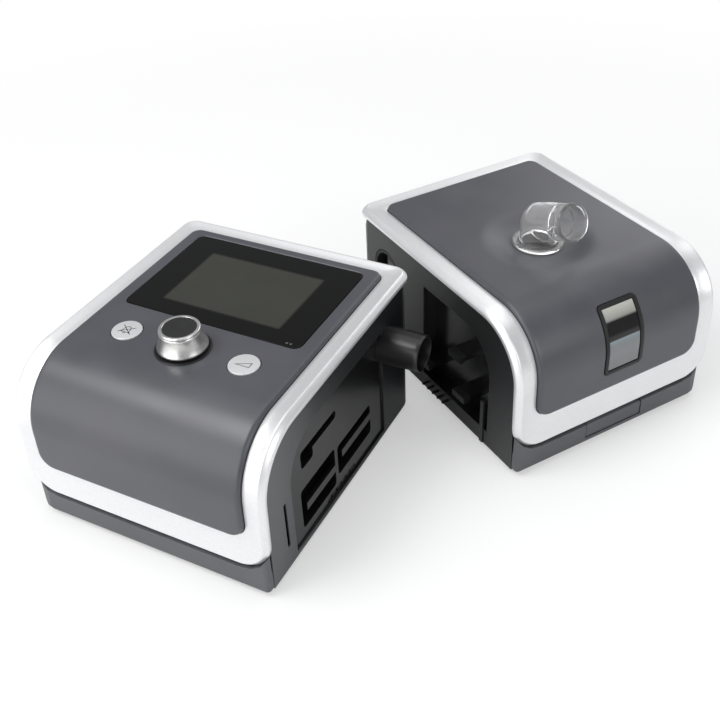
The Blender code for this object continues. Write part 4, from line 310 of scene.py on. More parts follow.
def sideStations():
    steps = casing["noseSteps"]
    front = topLength + noseLength
    return ([topLength * share for share in (0.25, 0.5, 0.75)] + [topLength + noseLength * i / steps
            for i in range(steps + 1)] + [front + (alongFront(panelShape["footZ"]) - front) / 3])


def flatRing(half, start, end, backRadius, frontRadius, trim, stations=None):
    # A rounded rectangle on the unrolled skin: (across, along) points, right side first, then the left
    steps = casing["cornerSteps"]
    half, start, end = half - trim, start + trim, end - trim
    near, far = max(backRadius - trim, 0.05 * mm), max(frontRadius - trim, 0.05 * mm)
    turns = [math.pi / 2 * i / steps for i in range(steps + 1)]
    right = [(half - near + near * math.sin(a), start + near - near * math.cos(a)) for a in turns]
    right += [(half, s) for s in (sideStations() if stations is None else stations)]
    right += [(half - far + far * math.cos(a), end - far + far * math.sin(a)) for a in turns]
    return right + [(-x, s) for x, s in reversed(right)]


def lifted(ring, out, middle=0):
    return [skinPoint(middle + x, s, out) for x, s in ring]


def between(first, second, share):
    return [(a[0] + (b[0] - a[0]) * share, a[1] + (b[1] - a[1]) * share) for a, b in zip(first, second)]


# Mesh helpers
def bridgedRows(bm, rings, loop=False):
    # Rings of equal count joined by faces, the last to the first again where it is a loop
    rows = [[bm.verts.new(point) for point in ring] for ring in rings]
    count = len(rows[0])
    for a, b in list(zip(rows, rows[1:])) + ([(rows[-1], rows[0])] if loop else []):
        for i in range(count):
            j = (i + 1) % count
            bm.faces.new((a[i], a[j], b[j], b[i]))
    return rows


def ringMesh(rings, loop=False):
    # One closed body; without loop the two end rings are filled across, right side to left
    bm = bmesh.new()
    rows = bridgedRows(bm, rings, loop)
    count = len(rows[0])
    if not loop:
        for row in (rows[0], rows[-1]):
            for i in range(count // 2 - 1):
                bm.faces.new((row[i], row[i + 1], row[count - 2 - i], row[count - 1 - i]))
    bmesh.ops.recalc_face_normals(bm, faces=bm.faces)
    return bm


def latheMesh(profile, steps=96, loop=False):
    # (radius, height) points turned about Z; a radius of zero closes on the axis
    bm = bmesh.new()
    rows = []
    for radius, z in profile:
        count = steps if radius > 0 else 1
        rows.append([bm.verts.new((radius * math.cos(2 * math.pi * i / steps),
                                   radius * math.sin(2 * math.pi * i / steps), z)) for i in range(count)])
    pairs = list(zip(rows, rows[1:])) + ([(rows[-1], rows[0])] if loop else [])
    for a, b in pairs:
        for i in range(steps):
            j = (i + 1) % steps
            corners = list(dict.fromkeys([a[i % len(a)], a[j % len(a)], b[j % len(b)], b[i % len(b)]]))
            if len(corners) > 2:
                bm.faces.new(corners)
    bmesh.ops.recalc_face_normals(bm, faces=bm.faces)
    return bm


def prismMesh(layers):
    # Outlines of equal count at rising heights, as (outline, height), filled at both ends
    bm = bmesh.new()
    rows = bridgedRows(bm, [[(x, y, z) for x, y in outline] for outline, z in layers])
    bm.faces.new(rows[0])
    bm.faces.new(rows[-1])
    bmesh.ops.recalc_face_normals(bm, faces=bm.faces)
    return bm


def section(points, across, up):
    # Points in millimetres, set out from one place
    return [(across + x * mm, up + y * mm) for x, y in points]


def gathered(parts):
    # Several small meshes as one
    bm = bmesh.new()
    for part in parts:
        mesh = bpy.data.meshes.new("part")
        part.to_mesh(mesh)
        part.free()
        bm.from_mesh(mesh)
        bpy.data.meshes.remove(mesh)
    return bm


def roundedBox(left, right, low, high, radius, grow=0, steps=8):
    points = []
    reach = radius + grow
    for u, v, turn in ((right, high, 0), (left, high, 1), (left, low, 2), (right, low, 3)):
        cu = u - radius if u == right else u + radius
        cv = v - radius if v == high else v + radius
        for i in range(steps + 1):
            a = math.pi / 2 * (turn + i / steps)
            points.append((cu + reach * math.cos(a), cv + reach * math.sin(a)))
    return points


def circlePoints(x, y, radius, steps=64):
    return [(x + radius * math.cos(2 * math.pi * i / steps), y + radius * math.sin(2 * math.pi * i / steps))
            for i in range(steps)]


def setShading(mesh, angle):
    mesh.polygons.foreach_set("use_smooth", [True] * len(mesh.polygons))
    mesh.set_sharp_from_angle(angle=math.radians(angle))
    mesh.update()


def newPiece(name, bm, finish, place=None, angle=30):
    if place is not None:
        bmesh.ops.transform(bm, matrix=place, verts=bm.verts)
    mesh = bpy.data.meshes.new(name)
    bm.to_mesh(mesh)
    bm.free()
    mesh.materials.append(finish)
    setShading(mesh, angle)
    piece = bpy.data.objects.new(name, mesh)
    bpy.context.collection.objects.link(piece)
    return piece


def applyModifiers(piece, angle=30):
    # The evaluated shape becomes the plain mesh
    bpy.context.view_layer.update()
    seen = piece.evaluated_get(bpy.context.evaluated_depsgraph_get())
    mesh = bpy.data.meshes.new_from_object(seen)
    piece.modifiers.clear()
    old = piece.data
    piece.data = mesh
    mesh.name = piece.name
    bpy.data.meshes.remove(old)
    if angle:
        setShading(mesh, angle)
    return piece


def carve(piece, tools, place):
    # Booleans, one for each tool
    held = []
    for bm in tools:
        bmesh.ops.transform(bm, matrix=place, verts=bm.verts)
        mesh = bpy.data.meshes.new("tool")
        bm.to_mesh(mesh)
        bm.free()
        tool = bpy.data.objects.new("tool", mesh)
        bpy.context.collection.objects.link(tool)
        cutter = piece.modifiers.new("carve", "BOOLEAN")
        cutter.operation = "DIFFERENCE"
        cutter.solver = "EXACT"
        cutter.object = tool
        held.append(tool)
    applyModifiers(piece)
    for tool in held:
        mesh = tool.data
        bpy.data.objects.remove(tool)
        bpy.data.meshes.remove(mesh)
    return piece


def softened(node, name, width, finish=None):
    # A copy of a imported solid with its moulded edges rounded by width, standing for that node
    clean = {"merge": 0.002 * mm, "flat": math.radians(0.6), "sharp": math.radians(32), "segments": 2}
    source = nodes[node]
    bm = bmesh.new()
    bm.from_mesh(source.data)
    bmesh.ops.remove_doubles(bm, verts=bm.verts, dist=clean["merge"])
    bmesh.ops.dissolve_limit(bm, angle_limit=clean["flat"], verts=bm.verts, edges=bm.edges)
    bmesh.ops.connect_verts_concave(bm, faces=bm.faces)
    piece = newPiece(name, bm, finish or finishes[slotOf[node]])
    edge = piece.modifiers.new("mouldedEdge", "BEVEL")
    edge.limit_method = "ANGLE"
    edge.angle_limit = clean["sharp"]
    edge.width = width
    edge.segments = clean["segments"]
    edge.use_clamp_overlap = True
    edge.miter_outer = "MITER_ARC"
    even = piece.modifiers.new("evenNormals", "WEIGHTED_NORMAL")
    even.keep_sharp = True
    applyModifiers(piece, 0)
    settle(piece, node)
    return piece


def settle(piece, *replaced, body=None, slot=None):
    # The piece rides where its nodes ride and stands for them; its slot argument is not used
    bodies = frame["record"]["behaviour"]["bodies"]
    body = body or next(b for b, members in bodies.items() if replaced[0] in members)
    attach(piece, body)
    if replaced:
        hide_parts(*replaced)
    return piece


# Where the two modules stand, read from the frame
def modulePlaces():
    hinge = {"y": 75.5 * mm, "z": 81.5 * mm}
    low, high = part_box("silver_frame")
    main = Matrix.Translation(((low.x + high.x) / 2, high.y - halfDepth, casing["footHeight"]))
    joints = {joint["name"]: joint for joint in frame["joints"]}
    slide = joints["humidifier_dock_slide"]["axis"]
    turn = Matrix.Rotation(math.atan2(slide[1], slide[0]), 4, "Z")
    pin = Vector(joints["lid_hinge"]["pos_m"])
    humidifier = Matrix.Translation(pin) @ turn @ Matrix.Translation((0, -hinge["y"], -hinge["z"]))
    return main, humidifier


mainPlace, humidifierPlace = modulePlaces()
slopeTurn = Matrix.Rotation(casing["slope"], 4, "X")
mainDeck = mainPlace @ Matrix.Translation((0, 0, topHeight(0))) @ slopeTurn


def frameRings(half, side):
    # Section of the silver frame from its inner wall, up a shallow dish to the ridge, down to the skirt
    rim = {"innerRound": 0.35 * mm, "crestIn": 3.7 * mm, "crestDrop": 0.12 * mm,
           "dishShares": (0.3, 0.6, 0.85), "dishDrops": (1.3 * mm, 0.9 * mm, 0.4 * mm),
           "bevel": ((3.3, -0.02), (3.0, 0.0), (2.7, -0.06), (2.4, -0.24), (1.6, -0.95), (0.8, -1.75),
                     (0.35, -2.3), (0.1, -2.8), (0.0, -3.4), (0.0, -4.2), (0.1, -4.5), (0.4, -4.6))}
    shape = frameShape
    foot = alongFront(shape["footZ"])
    panelFoot = alongFront(panelShape["footZ"])

    def outer(trim):
        return flatRing(half, 0, foot, shape["backRadius"], shape["frontRadius"], trim)

    def inner(trim):
        return flatRing(half - side, shape["back"], panelFoot, panelShape["backRadius"],
                        panelShape["frontRadius"], trim)

    r = rim["innerRound"]
    drop = shape["drop"]
    rings = [lifted(inner(0), -drop - shape["wall"]), lifted(inner(0), -drop - r),
             lifted(inner(-r * 0.3), -drop - r * 0.3), lifted(inner(-r), -drop)]
    edge = inner(-r)
    crest = outer(rim["crestIn"])
    for share, low in zip(rim["dishShares"], rim["dishDrops"]):
        rings.append(lifted(between(edge, crest, share), -low))
    rings.append(lifted(crest, -rim["crestDrop"]))
    for trim, out in rim["bevel"]:
        rings.append(lifted(outer(trim * mm), out * mm))
    rings.append(lifted(outer(shape["wall"]), -shape["skirt"]))
    rings.append(lifted(outer(shape["wall"]), -drop - shape["wall"]))
    return rings


def silverFrame(name, node, width, side, place):
    rings = ringMesh(frameRings(width / 2, side), loop=True)
    return settle(newPiece(name, rings, finishes["silver_paint"], place, 50), node)


def panelBody(name, width, side, place):
    # The raised panel: its edge turns over in a soft shoulder
    shape = panelShape
    half = width / 2 - side - shape["gap"]
    start = frameShape["back"] + shape["gap"]
    foot = alongFront(shape["footZ"]) - shape["gap"]
    shoulder = {"steps": 8, "flatten": 0.75, "ends": 1.6}

    def ring(trim, out):
        return lifted(flatRing(half, start, foot, shape["backRadius"], shape["frontRadius"], trim), out)

    rings = [ring(0, -shape["under"])]
    for i in range(shoulder["steps"] + 1):
        a = math.pi / 2 * i / shoulder["steps"]
        low = shape["round"] * shoulder["flatten"] * (1 - math.sin(a))
        rings.append(ring(shape["round"] * (1 - math.cos(a)), shape["rise"] - low))
    rings.append(ring(shape["round"] * shoulder["ends"], shape["rise"]))
    return newPiece(name, ringMesh(rings), finishes["slate_plastic"], place)


mainWidth, humidifierWidth = 151 * mm, 141.5 * mm
mainSide, humidifierSide = 12 * mm, 13.2 * mm
silverFrame("silverFrame", "silver_frame", mainWidth, mainSide, mainPlace)
silverFrame("lidFrame", "humidifier_frame", humidifierWidth, humidifierSide, humidifierPlace)
print("silver frames made")


# Main unit's top panel with its holes, each with a small broken edge
def chamferedHole(outline, low, high, edge):
    # outline(grow) gives the hole's rim; it widens by edge at the surface, and the tool ends well above
    above = 3 * mm
    return prismMesh([(outline(0), low), (outline(0), high - edge), (outline(edge), high),
                      (outline(edge), high + above)])


display = {"half": 55 * mm, "front": -8 * mm, "back": 67.8 * mm, "radius": 4.5 * mm, "glass": 1.6 * mm,
           "sunk": 0.2 * mm, "gap": 0.3 * mm, "edge": 0.35 * mm, "lcdHalf": 36.5 * mm,
           "lcdFront": 4 * mm, "lcdBack": 53 * mm, "bevel": ((0, -0.25), (0.1, -0.08), (0.3, 0))}
control = {"y": -29.5 * mm, "base": 13.3 * mm, "top": 10.7 * mm, "height": 13 * mm, "travel": 1 * mm,
           "cap": 8.8 * mm, "capDepth": 0.9 * mm, "collar": 4.7 * mm}
button = {"x": 36 * mm, "y": -29 * mm, "radius": 8.2 * mm, "clearance": 0.35 * mm, "rise": 0.5 * mm,
          "crown": 0.5 * mm, "crownSteps": 5, "lip": 1.1 * mm, "lipGap": 0.3 * mm}


def topPanel():
    panel = panelBody("topPanel", mainWidth, mainSide, mainPlace)
    rise, under = panelShape["rise"], panelShape["under"]
    bottom = rise - display["sunk"] - display["glass"]
    edge = display["edge"]

    def seat(grow):
        d = display
        return roundedBox(-d["half"], d["half"], d["front"], d["back"], d["radius"], grow)

    tools = [chamferedHole(seat, bottom - display["gap"], rise, edge)]
    tools.append(chamferedHole(lambda grow: circlePoints(0, control["y"], control["collar"] + grow),
                               -under - mm, rise, edge))
    reach = button["radius"] + button["clearance"]
    for side in (-1, 1):
        tools.append(chamferedHole(lambda grow: circlePoints(side * button["x"], button["y"], reach + grow),
                                   -under - mm, rise, edge))
    return settle(carve(panel, tools, mainDeck), "top_panel")


topPanel()


def displayPane():
    # Glossy black pane; the screen behind it shows as an olive-grey field with a darker rim
    d = display
    low = panelShape["rise"] - d["sunk"] - d["glass"]
    high = low + d["glass"]

    def rim(trim):
        gap = d["gap"] + trim
        return roundedBox(-d["half"] + gap, d["half"] - gap, d["front"] + gap, d["back"] - gap,
                          d["radius"] - trim)

    layers = [(rim(0), low)] + [(rim(trim), z) for trim, z in section(d["bevel"], 0, high)]
    pane = newPiece("displayPane", prismMesh(layers), displayAcrylic(), mainDeck, 20)
    settle(pane, "display_window")
    dot = {"radius": 0.75 * mm, "x": 47.6 * mm, "y": -4.9 * mm, "apart": 2.3 * mm, "proud": 0.03 * mm,
           "sunk": 0.4 * mm}
    discs = []
    for side in (-0.5, 0.5):
        outline = circlePoints(dot["x"] + side * dot["apart"], dot["y"], dot["radius"], 20)
        discs.append(prismMesh([(outline, high - dot["sunk"]), (outline, high + dot["proud"])]))
    sensors = newPiece("lightSensor", gathered(discs), finishes["slate_plastic"], mainDeck)
    settle(sensors, body="main_unit", slot="clear_plastic")


def displayAcrylic():
    # Acrylic printed black from behind, with a clear field over the liquid-crystal screen
    look = {"ink": "#0c0c0b", "dark": "#33342f", "pale": "#3b3c36", "soft": 0.9 * mm, "patch": 30 * mm}
    material, tree, shader = newMaterial("displayAcrylic", look["ink"], roughness=0.09, ior=1.49,
                                         specular=0.2)
    point = objectPoint(tree)
    axes = moduleAxes(tree, Matrix.Translation(mainDeck.to_translation()))
    middle = (display["lcdFront"] + display["lcdBack"]) / 2
    reach = (display["lcdBack"] - display["lcdFront"]) / 2
    soft = look["soft"]
    shares = []
    for axis, centre, half in (("X", 0, display["lcdHalf"]), ("Y", middle, reach)):
        offset = addNode(tree, "ShaderNodeMath", {"operation": "SUBTRACT", 1: centre},
                         {0: axes.outputs[axis]})
        away = addNode(tree, "ShaderNodeMath", {"operation": "ABSOLUTE"}, {0: offset.outputs[0]})
        inside = addNode(tree, "ShaderNodeMapRange", {"From Min": half + soft, "From Max": half - soft},
                         {"Value": away.outputs[0]})
        shares.append(inside.outputs["Result"])
    screen = addNode(tree, "ShaderNodeMath", {"operation": "MULTIPLY"}, {0: shares[0], 1: shares[1]})
    field = addNode(tree, "ShaderNodeTexNoise", {"Scale": 1 / look["patch"]}, {"Vector": point})
    tone = addNode(tree, "ShaderNodeMix",
                   {"data_type": "RGBA", 6: linear(look["dark"]), 7: linear(look["pale"])},
                   {0: field.outputs["Fac"]})
    colour = addNode(tree, "ShaderNodeMix", {"data_type": "RGBA", 6: linear(look["ink"])},
                     {0: screen.outputs[0], 7: tone.outputs[2]})
    tree.links.new(colour.outputs[2], shader.inputs["Base Color"])
    wearRoughness(tree, shader, point, 18 * mm, 0.07, 0.12)
    return material


displayPane()
print("top panel and display made")


def controlKnob():
    # Turned knob: flared foot, waisted side, rolled rim and a dished black cap, over a black seat ring
    c = control
    k = {"lift": 0.3 * mm, "sideSteps": 14, "flare": 1.7, "waist": 0.15 * mm, "sideLow": 1.0 * mm,
         "sideHigh": 1.9 * mm, "rim": 0.9 * mm, "rimIn": 0.85 * mm, "rimSteps": 8, "rimStart": math.pi / 5,
         "bore": 3.3 * mm, "boreDepth": 8.3 * mm, "foot": ((-1.0, 0), (-0.4, 0.12), (-0.1, 0.5)),
         "lip": ((0.2, -0.05), (0, -0.25))}
    rise = panelShape["rise"]
    foot = rise + k["lift"] + c["travel"]
    head = rise + c["height"]
    at = mainDeck @ Matrix.Translation((0, c["y"], 0))
    side = []
    for i in range(k["sideSteps"] + 1):
        share = i / k["sideSteps"]
        flare = (1 - share) ** k["flare"]
        side.append((c["top"] + k["waist"] + (c["base"] - c["top"] - k["waist"]) * flare,
                     foot + k["sideLow"] + (head - k["sideHigh"] - foot - k["sideLow"]) * share))
    rim = []
    for i in range(k["rimSteps"] + 1):
        a = -k["rimStart"] + (math.pi / 2 + k["rimStart"]) * i / k["rimSteps"]
        rim.append((c["top"] - k["rimIn"] + k["rim"] * math.cos(a), head - k["rim"] + k["rim"] * math.sin(a)))
    bore = [(0, foot + k["boreDepth"]), (k["bore"], foot + k["boreDepth"]), (k["bore"], foot)]
    cup = section(k["lip"], c["cap"], head) + [(c["cap"], head - c["capDepth"]), (0, head - c["capDepth"])]
    profile = bore + section(k["foot"], c["base"], foot) + side + rim + cup
    body = newPiece("controlKnob", latheMesh(profile), finishes["bright_steel"], at, 40)
    settle(body, "control_knob")

    p = {"gap": 0.12 * mm, "under": 0.05 * mm, "edge": ((0, -0.3), (-0.25, -0.1)), "top": 0.15 * mm,
         "dish": 0.55 * mm, "shares": (0.95, 0.85, 0.7, 0.5, 0.3, 0)}
    low = head - c["capDepth"] + p["under"]
    reach = c["cap"] - p["gap"]
    dish = [(0, low), (reach, low)] + section(p["edge"], reach, head)
    for share in p["shares"]:
        dish.append((reach * share, head - p["top"] - p["dish"] * (1 - share ** 2)))
    cap = newPiece("knobCap", latheMesh(dish), finishes["soft_rubber"], at)
    settle(cap, "knob_cap")

    s = {"gap": 0.3 * mm, "width": 1.3 * mm, "lift": 0.02 * mm,
         "outer": ((0, 0), (0, 0.25), (-0.3, 0.55), (-0.6, 0.6)), "inner": ((0.3, 0.5), (0, 0.2), (0, 0)),
         "wellLow": 0.3 * mm, "wellTop": 0.06 * mm}
    seatLow = rise + s["lift"]
    inner = c["base"] + s["gap"]
    outer = inner + s["width"]
    ring = section(s["outer"], outer, seatLow) + section(s["inner"], inner, seatLow)
    seat = newPiece("knobSeat", latheMesh(ring, loop=True), finishes["black_plastic"], at)
    settle(seat, "knob_ring")
    # Painted shade: a matt black disc under the knob darkens the panel where the knob's shadow falls
    low, high = rise - s["wellLow"], rise + s["wellTop"]
    shade = newPiece("knobWell", latheMesh([(0, low), (inner, low), (inner, high), (0, high)]),
                     finishes["soft_rubber"], at)
    settle(shade, body="main_unit", slot="black_plastic")


controlKnob()


def strokeMesh(points, width, low, high, close=False):
    # A line of even width, raised from low to high, its corners mitred
    count = len(points)
    left, right = [], []
    for i, (x, y) in enumerate(points):
        before = points[i - 1] if i or close else None
        after = points[(i + 1) % count] if i < count - 1 or close else None
        directions = []
        if before:
            directions.append((Vector((x, y)) - Vector(before)).normalized())
        if after:
            directions.append((Vector(after) - Vector((x, y))).normalized())
        normals = [Vector((-d.y, d.x)) for d in directions]
        mean = sum(normals, Vector((0, 0))).normalized()
        reach = width / 2 / max(mean.dot(normals[0]), 0.3)
        left.append((x + mean.x * reach, y + mean.y * reach))
        right.append((x - mean.x * reach, y - mean.y * reach))
    bm = bmesh.new()
    rows = [[bm.verts.new((x, y, z)) for x, y in side] for side, z in
            ((left, low), (left, high), (right, high), (right, low))]
    spans = count if close else count - 1
    for i in range(spans):
        j = (i + 1) % count
        for a, b in zip(rows, rows[1:] + rows[:1]):
            bm.faces.new((a[i], a[j], b[j], b[i]))
    if not close:
        for i in (0, count - 1):
            bm.faces.new([row[i] for row in rows])
    bmesh.ops.recalc_face_normals(bm, faces=bm.faces)
    return bm


def roundButtons():
    # Lacquered caps with a crowned edge; each carries a plain printed sign
    b = button
    top = panelShape["rise"] + b["rise"]
    lipTop = -panelShape["under"] - b["lipGap"]
    low = lipTop - b["lip"]
    ink = {"width": 0.42 * mm, "low": top - 0.15 * mm, "high": top + 0.035 * mm}
    bell = ((-2.9, -2.0), (-2.1, -1.0), (-1.9, 0.9), (-1.1, 2.3), (0, 2.8), (1.1, 2.3), (1.9, 0.9),
            (2.1, -1.0), (2.9, -2.0))
    # Strokes in millimetres, and whether each one closes: a struck-out bell, and a rising wedge
    signs = {
        "mute": ((bell, True), (((-0.8, -2.6), (0, -3.0), (0.8, -2.6)), False),
                 (((-3.9, -2.9), (3.9, 3.1)), False), (((-3.9, 3.1), (3.9, -2.9)), False)),
        "ramp": ((((-3.9, -1.5), (3.7, -1.5), (3.7, 1.9)), True),),
    }
    for name, side in (("mute", -1), ("ramp", 1)):
        at = mainDeck @ Matrix.Translation((side * b["x"], b["y"], 0))
        r = b["radius"]
        profile = [(0, low), (r + b["lip"], low), (r + b["lip"], lipTop), (r, lipTop), (r, top - b["crown"])]
        for i in range(1, b["crownSteps"]):
            a = math.pi / 2 * i / b["crownSteps"]
            profile.append((r - b["crown"] * (1 - math.cos(a)), top - b["crown"] * (1 - math.sin(a))))
        profile += [(r - b["crown"], top), (0, top)]
        cap = newPiece(name + "Button", latheMesh(profile), finishes["button_plastic"], at)
        settle(cap, name + "_button")
        strokes = [strokeMesh(section(points, 0, 0), ink["width"], ink["low"], ink["high"], close)
                   for points, close in signs[name]]
        sign = newPiece(name + "Sign", gathered(strokes), signInk, at)
        settle(sign, body=name, slot="black_plastic")


# Pad-printed dark grey ink, matt
signInk = surface("printedInk", "#2f3133", (0.8 * mm, "#2b2d2f", "#343638"), roughness=0.55)
roundButtons()
print("knob and buttons made")


# Lid: its panel has a shallow dish round the outlet and an opening for the water window
outlet = {"x": -3.2 * mm, "y": -9.6 * mm, "dish": 35 * mm, "dishFlat": 15.5 * mm, "dishDepth": 2.2 * mm,
          "dishSteps": 14, "above": 2 * mm, "gap": 0.3 * mm, "collar": 13.2 * mm, "collarWall": 1.6 * mm}
waterWindow = {"x": 0.9 * mm, "half": 13.6 * mm, "low": 45 * mm, "high": 83.2 * mm, "radius": 3 * mm,
               "gasket": 2.5 * mm, "gasketRise": 0.5 * mm, "under": 1.8 * mm, "gap": 0.3 * mm,
               "opening": ((0, -0.3), (-0.35, 0), (-0.35, 1)),
               "outerBead": ((0, -0.25), (0.08, -0.08), (0.3, 0)),
               "innerBead": ((-0.3, 0), (0, -0.25)), "paneEdge": ((0, -0.25), (0.25, 0)), "stations": 18}
lidDeck = humidifierPlace @ Matrix.Translation((outlet["x"], outlet["y"], topHeight(outlet["y"]))) @ slopeTurn


def windowRing(trim, out):
    w = waterWindow
    start, end = alongNose(w["high"]), alongFront(w["low"])
    count = w["stations"]
    stations = [start + w["radius"] + (end - start - 2 * w["radius"]) * i / count for i in range(1, count)]
    return lifted(flatRing(w["half"], start, end, w["radius"], w["radius"], trim, stations), out, w["x"])


def windowRings(profile):
    return [windowRing(trim, out) for trim, out in profile]


def lidPanel():
    panel = panelBody("lidPanel", humidifierWidth, humidifierSide, humidifierPlace)
    rise, under = panelShape["rise"], panelShape["under"]
    o = outlet
    bowl = [(0, rise - o["dishDepth"])]
    steps = o["dishSteps"]
    for i in range(steps + 1):
        share = i / steps
        radius = o["dishFlat"] + (o["dish"] - o["dishFlat"]) * share
        bowl.append((radius, rise - o["dishDepth"] * (1 + math.cos(math.pi * share)) / 2))
    bowl += [(o["dish"], rise + o["above"]), (0, rise + o["above"])]
    hole = prismMesh([(circlePoints(0, 0, o["collar"] + o["gap"]), z) for z in (-under - mm, rise + mm)])
    carve(panel, [latheMesh(bowl, 128), hole], lidDeck)
    opening = [(0, -under - mm)] + section(waterWindow["opening"], 0, rise)
    carve(panel, [ringMesh(windowRings(opening))], humidifierPlace)
    return settle(panel, "lid_panel")


lidPanel()


def waterPane():
    w = waterWindow
    rise = panelShape["rise"]
    g, top = w["gap"], rise + w["gasketRise"]
    profile = [(g, -w["under"])] + section(w["outerBead"], g, top)
    profile += section(w["innerBead"], w["gasket"], top) + [(w["gasket"], -w["under"])]
    rings = ringMesh(windowRings(profile), loop=True)
    gasket = newPiece("windowGasket", rings, finishes["soft_rubber"], humidifierPlace)
    settle(gasket, "window_gasket")
    edge = w["gasket"] + g
    rings = ringMesh(windowRings([(edge, -w["under"])] + section(w["paneEdge"], edge, rise)))
    pane = newPiece("waterPane", rings, levelWindow(humidifierPlace), humidifierPlace)
    settle(pane, "water_window")


waterPane()
print("lid panel and water window made")


def outletElbow():
    # Clear elbow: flange, upright, a creased bend, and a mouth with a shoulder inside, all one wall
    e = {"radius": 11.2 * mm, "mouth": 10.5 * mm, "wall": 1.3 * mm, "flange": 15 * mm,
         "flangeThickness": 1.4 * mm, "stub": 6 * mm, "rise": 13.2 * mm, "reach": 28.4 * mm,
         "crease": 0.7 * mm, "cornerShare": 1.09,
         "lift": math.radians(23.4), "turn": math.radians(-87.2), "steps": 64, "bendSteps": 20,
         "brimLow": ((-0.3, 0), (0, 0.3)), "brimTop": ((0, -0.4), (-0.4, 0)),
         "fillet": ((1.2, 0), (0.35, 0.4), (0, 1.2)),
         "lip": ((9, 0.15), (2.2, 0), (2.0, 0.35), (1.0, 0.45), (0.3, 0.3), (0, -0.05)),
         "boreEdge": ((0, 0.3), (0.3, 0)), "shoulder": ((10, 0), (10.4, -0.9), (11.6, -0.9), (12.2, 0))}
    low = panelShape["rise"] - outlet["dishDepth"] + outlet["gap"]
    up = Vector((0, 0, 1))
    flat = Vector((math.cos(e["turn"]), math.sin(e["turn"]), 0))
    across = up.cross(flat)
    out = flat * math.cos(e["lift"]) + up * math.sin(e["lift"])
    bend = math.pi / 2 - e["lift"]
    knee = up * (low + e["rise"])
    mouth = knee + out * e["reach"]
    pivotReach = e["radius"] + e["crease"]
    pivot = knee + flat * pivotReach - up * pivotReach * math.tan(bend / 2)
    back, top = flat * -1, out.cross(across)

    def ring(centre, wide, tall):
        turns = [2 * math.pi * i / e["steps"] for i in range(e["steps"])]
        return [centre + across * wide * math.cos(t) + tall * math.sin(t) for t in turns]

    def bendRings(wall):
        rings = []
        for i in range(e["bendSteps"] + 1):
            a = bend * i / e["bendSteps"]
            outward = up * math.sin(a) - flat * math.cos(a)
            near = e["crease"] + wall
            reach = pivotReach + e["radius"] - wall
            far = min(reach / max(math.cos(a), math.cos(bend - a)), reach * e["cornerShare"])
            middle = pivot + outward * (near + far) / 2
            rings.append(ring(middle, e["radius"] - wall, outward * (far - near) / 2))
        return rings

    def upright(z, radius):
        return ring(up * z, radius, back * radius)

    def along(distance, radius):
        return ring(mouth - out * distance, radius, top * radius)

    stub = outlet["collar"] - outlet["collarWall"] - outlet["gap"]
    rise = low + e["flangeThickness"]
    bore = e["mouth"] - e["wall"]
    foot = [(stub, low - e["stub"]), (stub, low)] + section(e["brimLow"], e["flange"], low)
    foot += section(e["brimTop"], e["flange"], rise) + section(e["fillet"], e["radius"], rise)
    end = section(e["lip"], 0, e["mouth"]) + section(e["boreEdge"] + e["shoulder"], 0, bore)
    rings = [upright(z, radius) for radius, z in foot] + bendRings(0)
    rings += [along(distance, radius) for distance, radius in end]
    rings += reversed(bendRings(e["wall"]))
    rings.append(upright(low - e["stub"], stub - e["wall"]))
    elbow = newPiece("outletElbow", ringMesh(rings, loop=True), frostedClear(), lidDeck, 45)
    settle(elbow, "outlet_elbow")


outletElbow()


def airTube():
    t = {"y": 52 * mm, "z": 62 * mm, "radius": 11 * mm, "wall": 1.7 * mm, "length": 23 * mm,
         "taper": 0.5 * mm, "flange": 4 * mm, "neck": ((-0.6, -12), (-0.6, -2.5)),
         "flangeEdge": ((0, -2.5), (0, -0.3)), "tip": ((0.1, -3), (0, -0.7), (-0.2, -0.2), (-0.6, 0)),
         "mouth": ((0.5, 0), (0.15, -0.15), (0, -0.6)), "stub": 12 * mm, "step": 0.3 * mm, "proud": 0.2 * mm,
         "wallInset": 1 * mm, "dockWall": 2.6 * mm}
    outer = mainWidth / 2 - t["wallInset"]
    inner = outer - t["dockWall"]
    tip = outer + t["length"]
    bore, end = t["radius"] - t["wall"], t["radius"] - t["taper"]
    profile = [(bore, inner - t["stub"])] + section(t["neck"], t["radius"], inner)
    profile += section(t["flangeEdge"], t["radius"] + t["flange"], inner)
    profile += [(t["radius"], inner - t["step"]), (t["radius"], outer + t["proud"])]
    profile += section(t["tip"], end, tip) + section(t["mouth"], bore, tip)
    place = mainPlace @ Matrix.Translation((0, t["y"], t["z"])) @ Matrix.Rotation(math.pi / 2, 4, "Y")
    tube = newPiece("airOutletTube", latheMesh(profile, loop=True), finishes["black_plastic"], place, 35)
    settle(tube, "air_outlet_tube")


airTube()
print("elbow and air tube made")

wallInset = 1 * mm
# Each wall's first colour is its painted lit front, its second the painted shade towards its back
dockingFinish = {
    "docking_wall": dockingAbs("dockingAbs", mainPlace, mainWidth / 2 - wallInset, "#515355", "#1a1b1d"),
    "humidifier_docking_wall": dockingAbs("humidifierDockingAbs", humidifierPlace,
                                          humidifierWidth / 2 - wallInset, "#1d1e1f", "#101111"),
}
# How far the moulded edges of each packed shell are rounded, in millimetres
edgeWidth = {"base_shell": 0.5, "docking_wall": 0.3, "left_side_panel": 0.5, "rear_panel": 0.4,
             "power_inlet": 0.25, "humidifier_base": 0.5, "humidifier_docking_wall": 0.3,
             "humidifier_side_panel": 0.5, "humidifier_rear_panel": 0.4, "lid_release_button": 0.4,
             "inlet_seal": 0.3, "main_foot_front": 0.4, "main_foot_rear": 0.4,
             "humidifier_foot_front": 0.4, "humidifier_foot_rear": 0.4}
for node, width in edgeWidth.items():
    first, *rest = node.split("_")
    softened(node, first + "".join(word.capitalize() for word in rest), width * mm, dockingFinish.get(node))
print("moulded shells softened")


